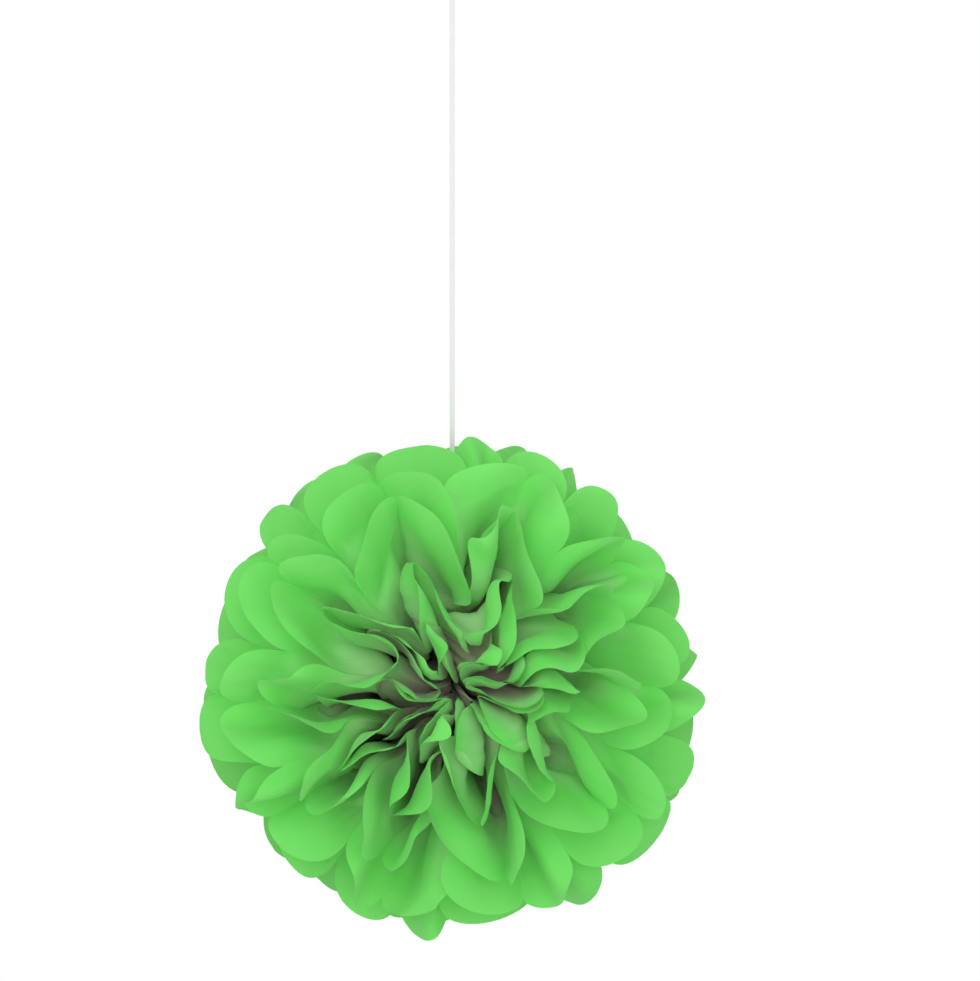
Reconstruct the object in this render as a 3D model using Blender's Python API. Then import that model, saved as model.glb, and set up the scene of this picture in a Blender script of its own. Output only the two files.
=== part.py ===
"""Tissue paper pom pom that hangs on a ribbon.

Ten sheets of tissue are laid in one stack and folded together like a fan
into a narrow strip with round ends. A wire ties the strip round its waist.
Both halves are then spread out, and the sheets are pulled apart one by one,
five towards the front and five towards the back, until they make a ball of
round petals. A narrow ribbon is knotted on the wire and ends in a loop.

The origin is the middle of the ball. The strip runs along X, the poles of
the ball are on Y (the front one at -Y), and the ribbon rises along +Z.
Lengths are in metres.
"""

import math
import random
from dataclasses import dataclass

import bmesh
import bpy
import numpy as np
from mathutils import Matrix, Vector

# The stack of tissue sheets
SHEETS_PER_SIDE = 5
STRIP_LENGTH = 0.406  # the folded strip, tip to tip
PANELS = 10  # fan panels across a sheet
PANEL_WIDTH = 0.066  # from one crease to the next
PANEL_ROUNDING = 0.036  # how far the round end is cut back at a crease
PAPER_WALL = 0.00045
PAPER_GAP = 0.0004  # free space between neighbouring sheets in the tied waist

# The gathered waist
WAIST_WIDTH = 0.012  # width of the strip inside the wire, along Z
WAIST_FOLD = 0.0006  # depth of the folds inside the wire
WAIST_REACH = 0.003  # half the length of the straight waist, at its edges

# How the sheets are fluffed
FOLD_SPREAD = math.radians(15.5)  # how fast the folds deepen from the waist
MIDDLE_ROOM = math.radians(1.5)  # between the folds of the lowest sheet and the ribbon's plane
POLE_ROOM = math.radians(6.5)  # between the folds of the highest sheet and the pole
HALVES_GAP = 0.0030  # between the outermost creases of both halves, where they lie side by side
LENGTH_VARIATION = 0.010  # of single petals
SHARED_WAVE = math.radians(4.0)  # slow rise and fall of all sheets round the ball
# Shares of the angle from one sheet to the next
OWN_WAVE = 0.10  # slow rise and fall of one sheet
TILT_VARIATION = 0.10  # of single creases
# Shares of the angle of one panel
TURN_VARIATION = 0.15  # of single creases, round the ball
SEAM_TURN = 0.12  # of the line where both halves of a sheet meet
SHEET_SHIFTS = (0.25, 0.05, -0.075, -0.15, -0.15)  # of whole sheets round the ball, lowest first
STRAIGHT_REACH = 0.035  # from the waist to where the petals begin to differ

# The free edges of both halves of a sheet swing over each other where they meet
CROSSING_TURN = math.radians(7.0)
CROSSING_LIFT = math.radians(4.0)

# The petals
OPEN_DEPTH = 0.90  # share of the fold depth that is left in the lowest sheet, less open near the pole
PETAL_WAVE = 0.22  # swing that rounds a petal next to its creases, as a share of the room of one panel
PETAL_BULGE = 0.40  # bulge of the whole petal to one side, as a share of that swing
BULGE_VARIATION = 0.35  # share by which single petals bulge less
TIP_CURL = 0.18  # of the round ends, as a share of the room of one panel

# Pull that sets the petals round both poles upright
POLE_PULL = 0.66
POLE_PULL_WIDTH = math.radians(40.0)
POLE_PULL_START = 0.030
POLE_PULL_FULL = 0.120

# Slow swirl in the fluffed paper: it carries all sheets together, so that they stay clear
SWIRL_SIZE = 0.200
SWIRL_REACH = 0.010
SWIRL_START = 0.020  # from the middle of the ball
SWIRL_FULL = 0.100
RIBBON_CALM = 0.007  # from the ribbon to where the swirl begins
RIBBON_FREE = 0.040
SWIRL_WAVES = 22
SWIRL_STEPS = 10

# The round shape of the ball, as shares of the strip's length
BALL_START = 0.458  # what reaches out further than this is drawn back
BALL_LIMIT = 0.515

# Where the folds are measured, outwards from the waist
FOLD_STATION = 0.045  # up to here a panel is straight from crease to crease
OPEN_STATION = 0.090  # here it has one point between its creases
PETAL_STATION = 0.140  # from here on it is a petal with a curved section
PETAL_STEPS = 4  # faces across a petal

# The wire
WIRE_DIAMETER = 0.0008
WIRE_GAP = 0.0004  # between the wire and the paper
TWIST_GAP = 0.0003  # between the two ends that are twisted together
TWIST_LENGTH = 0.012
TWIST_TURNS = 2
TWIST_STEPS = 7  # points in one turn
CORNER_STEPS = 3

# The ribbon
RIBBON_WIDTH = 0.004
RIBBON_WALL = 0.0004
RIBBON_RISE = 0.545  # from the knot at the wire to the knot of the loop
LOOP_HEIGHT = 0.042
LOOP_WIDTH = 0.020
LOOP_STEPS = 20
KNOT_HEIGHT = 0.004
KNOT_WALL = 0.0008  # the ribbon wound round the wire
KNOT_GAP = 0.0003
KNOT_SIDES = 14

PITCH = PAPER_WALL + PAPER_GAP
PANEL_ARC = math.pi / PANELS
LOWEST_TILT = FOLD_SPREAD + MIDDLE_ROOM
HIGHEST_TILT = math.pi / 2 - FOLD_SPREAD - POLE_ROOM
SHEET_STEP = (HIGHEST_TILT - LOWEST_TILT) / max(SHEETS_PER_SIDE - 1, 1)


@dataclass(frozen=True)
class Finish:
    """Colour and surface of one kind of material."""

    name: str
    colour: tuple[float, float, float]
    roughness: float
    metallic: float = 0.0

    def material(self) -> bpy.types.Material:
        """Make the Blender material."""
        made = bpy.data.materials.new(self.name)
        made.use_nodes = True
        shader = made.node_tree.nodes["Principled BSDF"]
        shader.inputs["Base Color"].default_value = (*self.colour, 1.0)
        shader.inputs["Roughness"].default_value = self.roughness
        shader.inputs["Metallic"].default_value = self.metallic
        made.diffuse_color = (*self.colour, 1.0)
        return made


TISSUE = Finish("green_tissue", (0.150, 0.700, 0.118), 0.85)
WIRE = Finish("tie_wire", (0.45, 0.45, 0.45), 0.35, 1.0)
RIBBON = Finish("white_ribbon", (0.86, 0.86, 0.85), 0.45)


def place(name: str, mesh: bpy.types.Mesh, finish: Finish, smooth: bool) -> bpy.types.Object:
    """Put a mesh into the scene as a named object with its own material."""
    mesh.materials.append(finish.material())
    if smooth:
        mesh.shade_smooth()
        mesh.set_sharp_from_angle(angle=math.radians(35.0))
    made = bpy.data.objects.new(name, mesh)
    bpy.context.scene.collection.objects.link(made)
    return made


def smooth_step(value: float, start: float, stop: float) -> float:
    """Smooth step from 0 at start to 1 at stop, of a number or of an array."""
    share = np.clip((value - start) / (stop - start), 0.0, 1.0)
    return share * share * (3.0 - 2.0 * share)


def waist_edge(u: float) -> tuple[float, float]:
    """X and Z of the round edge of the tied waist, from which the folds spread."""
    z = (u / PANELS - 0.5) * WAIST_WIDTH
    bulge = math.sqrt(max((WAIST_WIDTH / 2) ** 2 - z**2, 0.0))
    return WAIST_REACH + bulge, z


def lean(along: float) -> float:
    """Angle by which the outermost creases lean in, so that both halves of a sheet meet."""
    shift = WAIST_REACH - (HALVES_GAP + PAPER_WALL) / 2
    return math.asin(shift / max(along, OPEN_STATION))


def places(steps: int) -> list[float]:
    """Places across a sheet with so many faces on each panel, closer together near its creases."""
    turns = [math.pi * i / steps for i in range(steps)]
    across = [(1.0 - math.cos(turn)) / 2 for turn in turns]
    return [j + step for j in range(PANELS) for step in across] + [float(PANELS)]


class Swirl:
    """Flow without sources, made of waves, that carries all sheets together."""

    def __init__(self, seed: int) -> None:
        """Draw the waves."""
        chance = np.random.default_rng(seed)
        ahead = chance.normal(size=(SWIRL_WAVES, 3))
        ahead /= np.linalg.norm(ahead, axis=1, keepdims=True)
        size = SWIRL_SIZE * chance.uniform(0.75, 1.6, size=(SWIRL_WAVES, 1))
        self.waves = ahead * 2.0 * math.pi / size
        self.push = np.cross(self.waves, chance.normal(size=(SWIRL_WAVES, 3)))
        self.push /= np.linalg.norm(self.push, axis=1, keepdims=True)
        self.phase = chance.uniform(0.0, 2.0 * math.pi, size=SWIRL_WAVES)

    @staticmethod
    def freedom(points: np.ndarray) -> np.ndarray:
        """Share of the flow at each point: none at the waist and along the ribbon."""
        free = smooth_step(np.linalg.norm(points, axis=1), SWIRL_START, SWIRL_FULL)
        beside = smooth_step(np.hypot(points[:, 0], points[:, 1]), RIBBON_CALM, RIBBON_FREE)
        below = smooth_step(-points[:, 2], 0.0, RIBBON_FREE)
        return free * np.maximum(beside, below)

    def move(self, points: np.ndarray) -> np.ndarray:
        """Carry points along the flow."""
        moved = points.copy()
        strength = SWIRL_REACH * math.sqrt(2.0 / SWIRL_WAVES) / SWIRL_STEPS
        for _ in range(SWIRL_STEPS):
            speed = np.cos(moved @ self.waves.T + self.phase) @ self.push
            moved += speed * strength * self.freedom(moved)[:, None]
        return moved


SWIRL = Swirl(seed=24)


def pull_to_poles(points: np.ndarray) -> np.ndarray:
    """Turn points towards the nearer pole, each at its own distance from the middle."""
    radius = np.hypot(points[:, 0], points[:, 2])
    distance = np.linalg.norm(points, axis=1)
    angle = np.arctan2(radius, np.abs(points[:, 1]))
    pull = POLE_PULL * np.exp(-((angle / POLE_PULL_WIDTH) ** 2))
    turned = angle * (1.0 - pull * smooth_step(distance, POLE_PULL_START, POLE_PULL_FULL))
    scale = distance * np.sin(turned) / np.maximum(radius, 1e-9)
    away = np.sign(points[:, 1]) * distance * np.cos(turned)
    return np.stack((points[:, 0] * scale, away, points[:, 2] * scale), axis=1)


def draw_into_ball(points: np.ndarray) -> np.ndarray:
    """Draw back the points that reach too far out."""
    distance = np.linalg.norm(points, axis=1)
    start = BALL_START * STRIP_LENGTH
    room = BALL_LIMIT * STRIP_LENGTH - start
    beyond = np.maximum(distance - start, 0.0)
    kept = np.minimum(distance, start) + room * np.tanh(beyond / room)
    return points * (kept / np.maximum(distance, 1e-9))[:, None]


def fluff(points: list[Vector]) -> list[Vector]:
    """Bend the paper at these points as it bends in the fluffed ball."""
    pulled = pull_to_poles(np.array([tuple(point) for point in points]))
    return [Vector(point) for point in draw_into_ball(SWIRL.move(pulled))]


class Sheet:
    """One sheet of tissue, folded, tied at its waist and fluffed.

    A point on the sheet is named by its half of the strip (-1 or 1 along X),
    by u, which counts panels across the sheet, and by its distance out from
    the waist. All sheets share the plane in which a crease rises, so that
    they nest in one another as they did in the folded stack.
    """

    def __init__(self, side: int, index: int) -> None:
        """Draw the small differences of this sheet.

        Args:
            side: -1 for the front of the ball, 1 for its back.
            index: 0 for the sheet next to the middle of the ball.
        """
        chance = random.Random(100 * index + side + 7)
        self.side = side
        self.index = index
        self.tilt = LOWEST_TILT + SHEET_STEP * index
        self.run = PITCH * (SHEETS_PER_SIDE - index)
        self.reach = STRIP_LENGTH / 2 - WAIST_REACH - self.run
        self.phase = chance.uniform(0.0, 2.0 * math.pi)
        self.seam = SEAM_TURN * PANEL_ARC * (1 if index % 2 == 0 else -1)
        vary = chance.uniform
        self.crease_tilt = self.draw(PANELS + 1, lambda: SHEET_STEP * vary(-TILT_VARIATION, TILT_VARIATION))
        self.crease_turn = self.draw(PANELS + 1, lambda: PANEL_ARC * vary(-TURN_VARIATION, TURN_VARIATION))
        for values in (*self.crease_turn.values(), *self.crease_tilt.values()):
            values[0] = values[-1] = 0.0
        self.crease_end = self.draw(PANELS + 1, lambda: vary(-LENGTH_VARIATION, LENGTH_VARIATION))
        self.petal_end = self.draw(PANELS, lambda: vary(-LENGTH_VARIATION, 0.0))
        self.tip_curl = self.draw(PANELS, lambda: vary(-0.6, 1.0) * TIP_CURL)
        self.height = index / max(SHEETS_PER_SIDE - 1, 1)
        self.shift = SHEET_SHIFTS[index % len(SHEET_SHIFTS)] * PANEL_ARC
        shared = random.Random(900 + side)
        inner = self.draw(PANELS, lambda: shared.choice((-1.0, 1.0)))
        least = 1.0 - BULGE_VARIATION
        self.bulge = {}
        for half in (-1, 1):
            mixed = [1.0 - self.height + self.height * one for one in inner[half]]
            self.bulge[half] = [one * vary(least, 1.0) for one in mixed]

    @staticmethod
    def draw(count: int, one) -> dict[int, list[float]]:
        """Draw count numbers for each half of the strip."""
        return {half: [one() for _ in range(count)] for half in (-1, 1)}

    def blend(self, values: list[float], u: float) -> float:
        """Read a list that holds one value for each crease at the place u."""
        j = min(int(u), PANELS - 1)
        return values[j] + (values[j + 1] - values[j]) * (u - j)

    def arc(self, out: float, tilt: float) -> float:
        """Room of one panel round the pole at a distance out from the waist."""
        return WAIST_WIDTH / PANELS + PANEL_ARC * (self.run + out * math.cos(tilt))

    def half_depth(self, out: float, tilt: float) -> float:
        """Half the depth of the folds at a distance out from the waist."""
        unfolded = math.sqrt(max(PANEL_WIDTH**2 - self.arc(out, tilt) ** 2, 0.0)) / 2
        gathered = WAIST_FOLD / 2 + out * math.tan(FOLD_SPREAD)
        return min(unfolded, gathered)

    def tilt_at(self, out: float) -> float:
        """Tilt of the sheet, which spreads as its folds get flatter towards the rim."""
        if out == 0.0:
            return self.tilt
        low = MIDDLE_ROOM + math.atan(self.half_depth(out, 0.0) / out)
        high = math.pi / 2 - POLE_ROOM - math.atan(self.half_depth(out, HIGHEST_TILT) / out)
        return low + (high - low) * self.index / max(SHEETS_PER_SIDE - 1, 1)

    @staticmethod
    def zigzag(u: float) -> float:
        """Height of the folds at u, from -1 to 1."""
        j = math.floor(u)
        return (1.0 - 2.0 * (u - j)) * (1 if j % 2 == 0 else -1)

    def crossing(self, half: int, u: float) -> tuple[float, float]:
        """Extra turn and extra tilt of the edge panels, where one half covers the other."""
        edge = max(1.0 - min(u, PANELS - u), 0.0)
        top = u > PANELS / 2
        over = top == (half < 0)
        turn = CROSSING_TURN * (1 if top else -1) if over else 0.0
        if self.side < 0:
            tilt = CROSSING_LIFT if over else -CROSSING_LIFT
        else:
            tilt = -CROSSING_LIFT / 4 if over else 1.5 * CROSSING_LIFT
        return turn * edge, tilt * edge

    def fold_point(self, half: int, u: float, out: float) -> Vector:
        """Place of a point of the plain folds."""
        turn = (u / PANELS - 0.5) * (math.pi + 2 * lean(self.run + out))
        free = max(0.0, out - STRAIGHT_REACH) / (self.reach - STRAIGHT_REACH)
        round_ball = turn if half > 0 else math.pi - turn
        swing, raised = self.crossing(half, u)
        tilt = self.tilt_at(out) + free * (self.blend(self.crease_tilt[half], u) + raised)
        tilt += free * SHARED_WAVE * math.sin(2 * round_ball) * -self.side
        tilt += free * OWN_WAVE * SHEET_STEP * math.sin(2 * round_ball + self.phase)
        turn += free * (self.blend(self.crease_turn[half], u) + swing - half * self.side * self.shift)
        turn -= half * self.seam * max(1.0 - min(u, PANELS - u), 0.0)
        opened = 1.0 - (1.0 - OPEN_DEPTH) * (1.0 - self.height**2) * smooth_step(out, 0.0, OPEN_STATION)
        lift = -self.side * self.half_depth(out, self.tilt) * self.zigzag(u) * opened
        along = self.run + out * math.cos(tilt) - lift * math.sin(tilt)
        away = out * math.sin(tilt) + lift * math.cos(tilt)
        x, z = waist_edge(u)
        return Vector(
            (
                half * (x + along * math.cos(turn)),
                self.side * (PITCH * (self.index + 0.5) + away),
                z + along * math.sin(turn),
            )
        )

    def point(self, half: int, u: float, out: float) -> Vector:
        """Place of a point of the sheet, whose panels are curved between their creases."""
        panel = min(int(u), PANELS - 1)
        across = u - panel
        low = self.fold_point(half, panel, out)
        chord = self.fold_point(half, panel + 1, out) - low
        if across in (0.0, 1.0):
            return low + chord * across
        middle = panel + 0.5
        ahead = self.fold_point(half, middle, out + PAPER_WALL) - self.fold_point(half, middle, out)
        normal = chord.cross(ahead).normalized()
        if normal.y * self.side < 0.0:
            normal.negate()
        spare = max(PANEL_WIDTH - chord.length, 0.0) * smooth_step(out, 0.0, FOLD_STATION)
        room = self.arc(out, self.tilt)
        swing = min(math.sqrt(0.375 * chord.length * spare), PETAL_WAVE * room)
        wave = math.sin(2.0 * math.pi * across) * (1 if panel % 2 == 0 else -1) * -self.side
        bow = 4.0 * across * (1.0 - across)
        height = swing * (wave + PETAL_BULGE * self.bulge[half][panel] * bow)
        near_tip = max(out - PETAL_STATION, 0.0) / (self.reach - PETAL_STATION)
        height += self.tip_curl[half][panel] * room * near_tip**2 * bow
        return low + chord * across + normal * height

    def waist_point(self, half: int, u: float) -> Vector:
        """Place of a point where the strip leaves the tied waist."""
        x, z = waist_edge(u)
        level = self.side * PITCH * (self.index + 0.5)
        return Vector((half * x, level - WAIST_FOLD / 2 * self.zigzag(u), z))

    def end(self, half: int, u: float) -> float:
        """How far out the round end of a panel reaches at u."""
        panel = min(int(u), PANELS - 1)
        across = 2.0 * (u - panel) - 1.0
        tip = STRIP_LENGTH / 2 - waist_edge(u)[0] - self.run
        crease = tip - PANEL_ROUNDING + self.blend(self.crease_end[half], u)
        petal = tip + self.petal_end[half][panel]
        return crease + (petal - crease) * math.sqrt(max(1.0 - across**2, 0.0))

    def rows(self) -> list[list[Vector]]:
        """Rows of points across the sheet, from one tip of the strip to the other."""
        stations = (0.0, 1), (FOLD_STATION, 1), (OPEN_STATION, 2), (PETAL_STATION, PETAL_STEPS)
        found = {}
        for half in (-1, 1):
            waist = [self.waist_point(half, u) for u in places(1)]
            rows = [[self.point(half, u, out) for u in places(steps)] for out, steps in stations]
            rows.append([self.point(half, u, self.end(half, u)) for u in places(PETAL_STEPS)])
            found[half] = [waist, *map(fluff, rows)]
        return [*reversed(found[-1]), *found[1]]

    def build(self, name: str) -> bpy.types.Object:
        """Model the sheet with its wall."""
        bm = bmesh.new()
        rows = [[bm.verts.new(point) for point in row] for row in self.rows()]
        middle = len(rows) // 2
        for i, (low, high) in enumerate(zip(rows, rows[1:])):
            if i == middle - 1 or len(low) != len(high) or len(low) > PANELS + 1:
                join_rows(bm, low, high)
            elif i < middle:
                bmesh.ops.reverse_faces(bm, faces=fold_panels(bm, high, low, self.side))
            else:
                fold_panels(bm, low, high, self.side)
        if self.side < 0:
            bmesh.ops.reverse_faces(bm, faces=bm.faces)
        mesh = bpy.data.meshes.new(name)
        bm.to_mesh(mesh)
        bm.free()
        made = place(name, mesh, TISSUE, smooth=True)
        wall = made.modifiers.new("wall", "SOLIDIFY")
        wall.thickness = PAPER_WALL
        wall.offset = 0.0
        return made


def join_rows(bm: bmesh.types.BMesh, low: list, high: list) -> None:
    """Fill the band between two rows, of which one may have more points."""
    if len(low) == len(high):
        for j in range(len(low) - 1):
            bm.faces.new((low[j], low[j + 1], high[j + 1], high[j]))
        return
    flipped = len(low) > len(high)
    few, many = (high, low) if flipped else (low, high)
    steps = (len(many) - 1) // (len(few) - 1)
    for j in range(len(few) - 1):
        fan = many[j * steps : (j + 1) * steps + 1]
        middle = steps // 2
        faces = [(few[j], fan[i + 1], fan[i]) for i in range(middle)]
        faces.append((few[j], few[j + 1], fan[middle]))
        faces += [(few[j + 1], fan[i + 1], fan[i]) for i in range(middle, steps)]
        for face in faces:
            bm.faces.new(reversed(face) if flipped else face)


def fold_panels(bm: bmesh.types.BMesh, inner: list, outer: list, side: int) -> list:
    """Fill the folds between two rows of creases and return the faces.

    Each panel is bent along the line from the inner end of its crease that is
    nearer the pole to the outer end of the other, the same way in all sheets
    of one side, so that neighbouring sheets stay clear of each other.
    """
    faces = []
    for j in range(len(inner) - 1):
        if (j % 2 == 0) == (side < 0):
            corners = (inner[j], inner[j + 1], outer[j + 1]), (inner[j], outer[j + 1], outer[j])
        else:
            corners = (inner[j], inner[j + 1], outer[j]), (inner[j + 1], outer[j + 1], outer[j])
        faces += [bm.faces.new(points) for points in corners]
    return faces


def tube(name: str, points: list[Vector], radius: float, finish: Finish) -> bpy.types.Object:
    """Sweep a round section along a path, with closed ends."""
    curve = bpy.data.curves.new(name, "CURVE")
    curve.dimensions = "3D"
    curve.bevel_depth = radius
    curve.bevel_resolution = 1
    curve.use_fill_caps = True
    spline = curve.splines.new("POLY")
    spline.points.add(len(points) - 1)
    for target, point in zip(spline.points, points):
        target.co = (*point, 1.0)
    curve.materials.append(finish.material())
    made = bpy.data.objects.new(name, curve)
    bpy.context.scene.collection.objects.link(made)
    return made


class WireTie:
    """Soft wire that is bent round the waist and twisted together below it."""

    def __init__(self) -> None:
        """Take the size of the waist that the wire encloses."""
        self.clear = WIRE_GAP + WIRE_DIAMETER / 2
        self.half_y = SHEETS_PER_SIDE * PITCH
        self.half_z = (WAIST_WIDTH + PAPER_WALL) / 2
        self.twist_radius = (WIRE_DIAMETER + TWIST_GAP) / 2
        self.knot_room = KNOT_WALL + 2 * KNOT_GAP

    @property
    def bar(self) -> float:
        """Height of the straight top of the wire, which the ribbon is knotted on."""
        return self.half_z + self.knot_room + WIRE_DIAMETER / 2

    def strand(self, start: float) -> list[Vector]:
        """One of the two twisted ends, from the waist downwards."""
        count = TWIST_TURNS * TWIST_STEPS
        base = -self.half_z - self.clear - WIRE_DIAMETER
        points = []
        for i in range(count + 1):
            turn = start + 2 * math.pi * TWIST_TURNS * i / count
            x = self.twist_radius * math.sin(turn)
            y = self.twist_radius * math.cos(turn)
            points.append(Vector((x, y, base - TWIST_LENGTH * i / count)))
        return points

    def corner(self, y: int, z: int) -> list[Vector]:
        """The wire bent round one corner of the waist, in the order of the ring."""
        turn = {(-1, -1): 2, (-1, 1): 3, (1, 1): 0, (1, -1): 1}[(y, z)] * math.pi / 2
        lift = self.bar - self.half_z - self.clear if z > 0 else 0.0
        points = []
        for step in range(CORNER_STEPS + 1):
            now = turn + math.pi / 2 * step / CORNER_STEPS
            across = y * self.half_y + self.clear * math.sin(now)
            up = z * self.half_z + lift + self.clear * math.cos(now)
            points.append(Vector((0.0, across, up)))
        return points

    def build(self) -> bpy.types.Object:
        """Model the wire as one piece from end to end."""
        path = [*reversed(self.strand(math.pi))]
        for y, z in ((-1, -1), (-1, 1), (1, 1), (1, -1)):
            path += self.corner(y, z)
        path += self.strand(0.0)
        return tube("wire_tie", path, WIRE_DIAMETER / 2, WIRE)


class HangingRibbon:
    """Flat ribbon, knotted on the top of the wire, with a loop at its upper end."""

    def __init__(self, tie: WireTie) -> None:
        """Seat the lower knot on the wire."""
        self.bar = tie.bar
        self.inner = WIRE_DIAMETER / 2 + KNOT_GAP
        self.outer = self.inner + KNOT_WALL
        self.foot = Vector((0.0, 0.0, self.bar + (self.inner + self.outer) / 2))
        self.top = self.foot.z + RIBBON_RISE

    def path(self) -> list[Vector]:
        """Middle line of the ribbon: up from the lower knot, then round the loop."""
        line = [self.foot, Vector((0.0, 0.0, self.top))]
        for i in range(1, LOOP_STEPS):
            turn = 2 * math.pi * i / LOOP_STEPS
            width = LOOP_WIDTH / 2 * math.sin(turn) * math.sin(turn / 2)
            rise = LOOP_HEIGHT * (1.0 - math.cos(turn)) / 2
            line.append(Vector((0.0, -width, self.top + rise)))
        line.append(Vector((0.0, RIBBON_WALL, self.top)))
        return line

    def band(self, points: list[Vector]) -> bpy.types.Mesh:
        """Flat strip along a path in the YZ plane, as wide as the ribbon along X."""
        bm = bmesh.new()
        rings = []
        for i, point in enumerate(points):
            ahead = points[min(i + 1, len(points) - 1)] - points[max(i - 1, 0)]
            ahead.normalize()
            normal = Vector((0.0, -ahead.z, ahead.y)) * RIBBON_WALL / 2
            side = Vector((RIBBON_WIDTH / 2, 0.0, 0.0))
            corners = (side + normal, side - normal, -side - normal, -side + normal)
            rings.append([bm.verts.new(point + corner) for corner in corners])
        for low, high in zip(rings, rings[1:]):
            for j in range(4):
                k = (j + 1) % 4
                bm.faces.new((low[j], low[k], high[k], high[j]))
        bm.faces.new(reversed(rings[0]))
        bm.faces.new(rings[-1])
        bmesh.ops.recalc_face_normals(bm, faces=bm.faces)
        mesh = bpy.data.meshes.new("ribbon_band")
        bm.to_mesh(mesh)
        bm.free()
        return mesh

    def lower_knot(self) -> bpy.types.Mesh:
        """Collar of ribbon wound round the top of the wire."""
        bm = bmesh.new()
        bevel = KNOT_WALL / 4
        end = RIBBON_WIDTH / 2
        section = (
            (self.inner, -end),
            (self.outer - bevel, -end),
            (self.outer, bevel - end),
            (self.outer, end - bevel),
            (self.outer - bevel, end),
            (self.inner, end),
        )
        rings = []
        for i in range(KNOT_SIDES):
            turn = 2 * math.pi * i / KNOT_SIDES
            spots = [(r * math.cos(turn), y, self.bar + r * math.sin(turn)) for r, y in section]
            rings.append([bm.verts.new(spot) for spot in spots])
        for i, ring in enumerate(rings):
            after = rings[(i + 1) % KNOT_SIDES]
            for j in range(len(section)):
                k = (j + 1) % len(section)
                bm.faces.new((ring[j], ring[k], after[k], after[j]))
        bmesh.ops.recalc_face_normals(bm, faces=bm.faces)
        mesh = bpy.data.meshes.new("lower_knot")
        bm.to_mesh(mesh)
        bm.free()
        return mesh

    def upper_knot(self) -> bpy.types.Mesh:
        """Small tight knot at the foot of the loop."""
        bm = bmesh.new()
        bmesh.ops.create_icosphere(bm, subdivisions=2, radius=1.0)
        size = Matrix.Diagonal((RIBBON_WIDTH * 0.75, KNOT_HEIGHT * 0.6, KNOT_HEIGHT * 0.75, 1.0))
        bmesh.ops.transform(bm, matrix=Matrix.Translation((0.0, 0.0, self.top)) @ size, verts=bm.verts)
        mesh = bpy.data.meshes.new("upper_knot")
        bm.to_mesh(mesh)
        bm.free()
        return mesh

    def build(self) -> bpy.types.Object:
        """Model the band and fuse it with its two knots."""
        made = place("hanging_ribbon", self.band(self.path()), RIBBON, smooth=True)
        for label, mesh in (("lower_knot", self.lower_knot()), ("upper_knot", self.upper_knot())):
            knot = place(label, mesh, RIBBON, smooth=True)
            knot.hide_render = True
            knot.display_type = "WIRE"
            fuse = made.modifiers.new(label, "BOOLEAN")
            fuse.operation = "UNION"
            fuse.solver = "EXACT"
            fuse.object = knot
        return made


def clear_scene() -> None:
    """Remove the scene's objects."""
    for old in list(bpy.context.scene.objects):
        bpy.data.objects.remove(old, do_unlink=True)


def main() -> None:
    """Build the whole pom pom."""
    clear_scene()
    for word, side in (("front", -1), ("back", 1)):
        for index in range(SHEETS_PER_SIDE):
            Sheet(side, index).build(f"{word}_sheet_{index + 1}")
    tie = WireTie()
    tie.build()
    HangingRibbon(tie).build()


main()
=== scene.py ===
"""Looks of the hanging tissue paper pom pom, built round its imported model.

Ten folded sheets of tissue, tied round the waist and fluffed into a ball, get
their petals, curls, crumples and paper; the wire tie and the ribbon get their
twist, weave and knots. Lengths are in metres, in the frame of the model: the
origin is the middle of the ball, its front pole points along -Y and the ribbon
rises along +Z.
"""

import logging
import math
import random
from collections.abc import Callable, Iterable, Sequence
from dataclasses import dataclass, field
from enum import Enum

import bpy
import numpy as np
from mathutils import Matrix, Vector
from mathutils.bvhtree import BVHTree


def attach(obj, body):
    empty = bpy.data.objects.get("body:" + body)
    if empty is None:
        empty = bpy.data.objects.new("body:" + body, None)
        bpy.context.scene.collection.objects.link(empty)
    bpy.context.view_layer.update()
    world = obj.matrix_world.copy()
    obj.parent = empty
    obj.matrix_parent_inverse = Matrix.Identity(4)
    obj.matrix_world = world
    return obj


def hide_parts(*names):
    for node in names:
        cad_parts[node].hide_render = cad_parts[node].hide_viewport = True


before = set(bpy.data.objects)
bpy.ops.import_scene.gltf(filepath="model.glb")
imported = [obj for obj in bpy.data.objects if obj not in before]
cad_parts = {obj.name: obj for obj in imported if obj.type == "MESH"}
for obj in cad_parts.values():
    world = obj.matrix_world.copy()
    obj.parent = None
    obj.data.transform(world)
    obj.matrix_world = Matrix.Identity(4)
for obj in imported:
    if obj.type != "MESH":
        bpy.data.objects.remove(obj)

LOG = logging.getLogger("pom_pom")
BODY = "root"
HALVES = (-1, 1)  # of the folded strip, to the left and the right of the wire
PANEL_WIDTH = 0.066
TINY = 1e-9  # keeps a division away from 0
GOLDEN = 0.61803  # share of a turn that spreads looks evenly
BOW = 0.375  # square of a shallow bow's height, over its width and its spare length
Colour = tuple[float, float, float]
Place = tuple[float, float, float]
WHITE = (1.0, 1.0, 1.0, 1.0)


class Side(Enum):
    """Which side of the middle plane a sheet is fluffed to."""

    FRONT = -1
    BACK = 1


class Input(Enum):
    """Kinds of inputs of a geometry tree."""

    NUMBER = "NodeSocketFloat"
    COUNT = "NodeSocketInt"
    FINISH = "NodeSocketMaterial"


# Nodes


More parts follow.
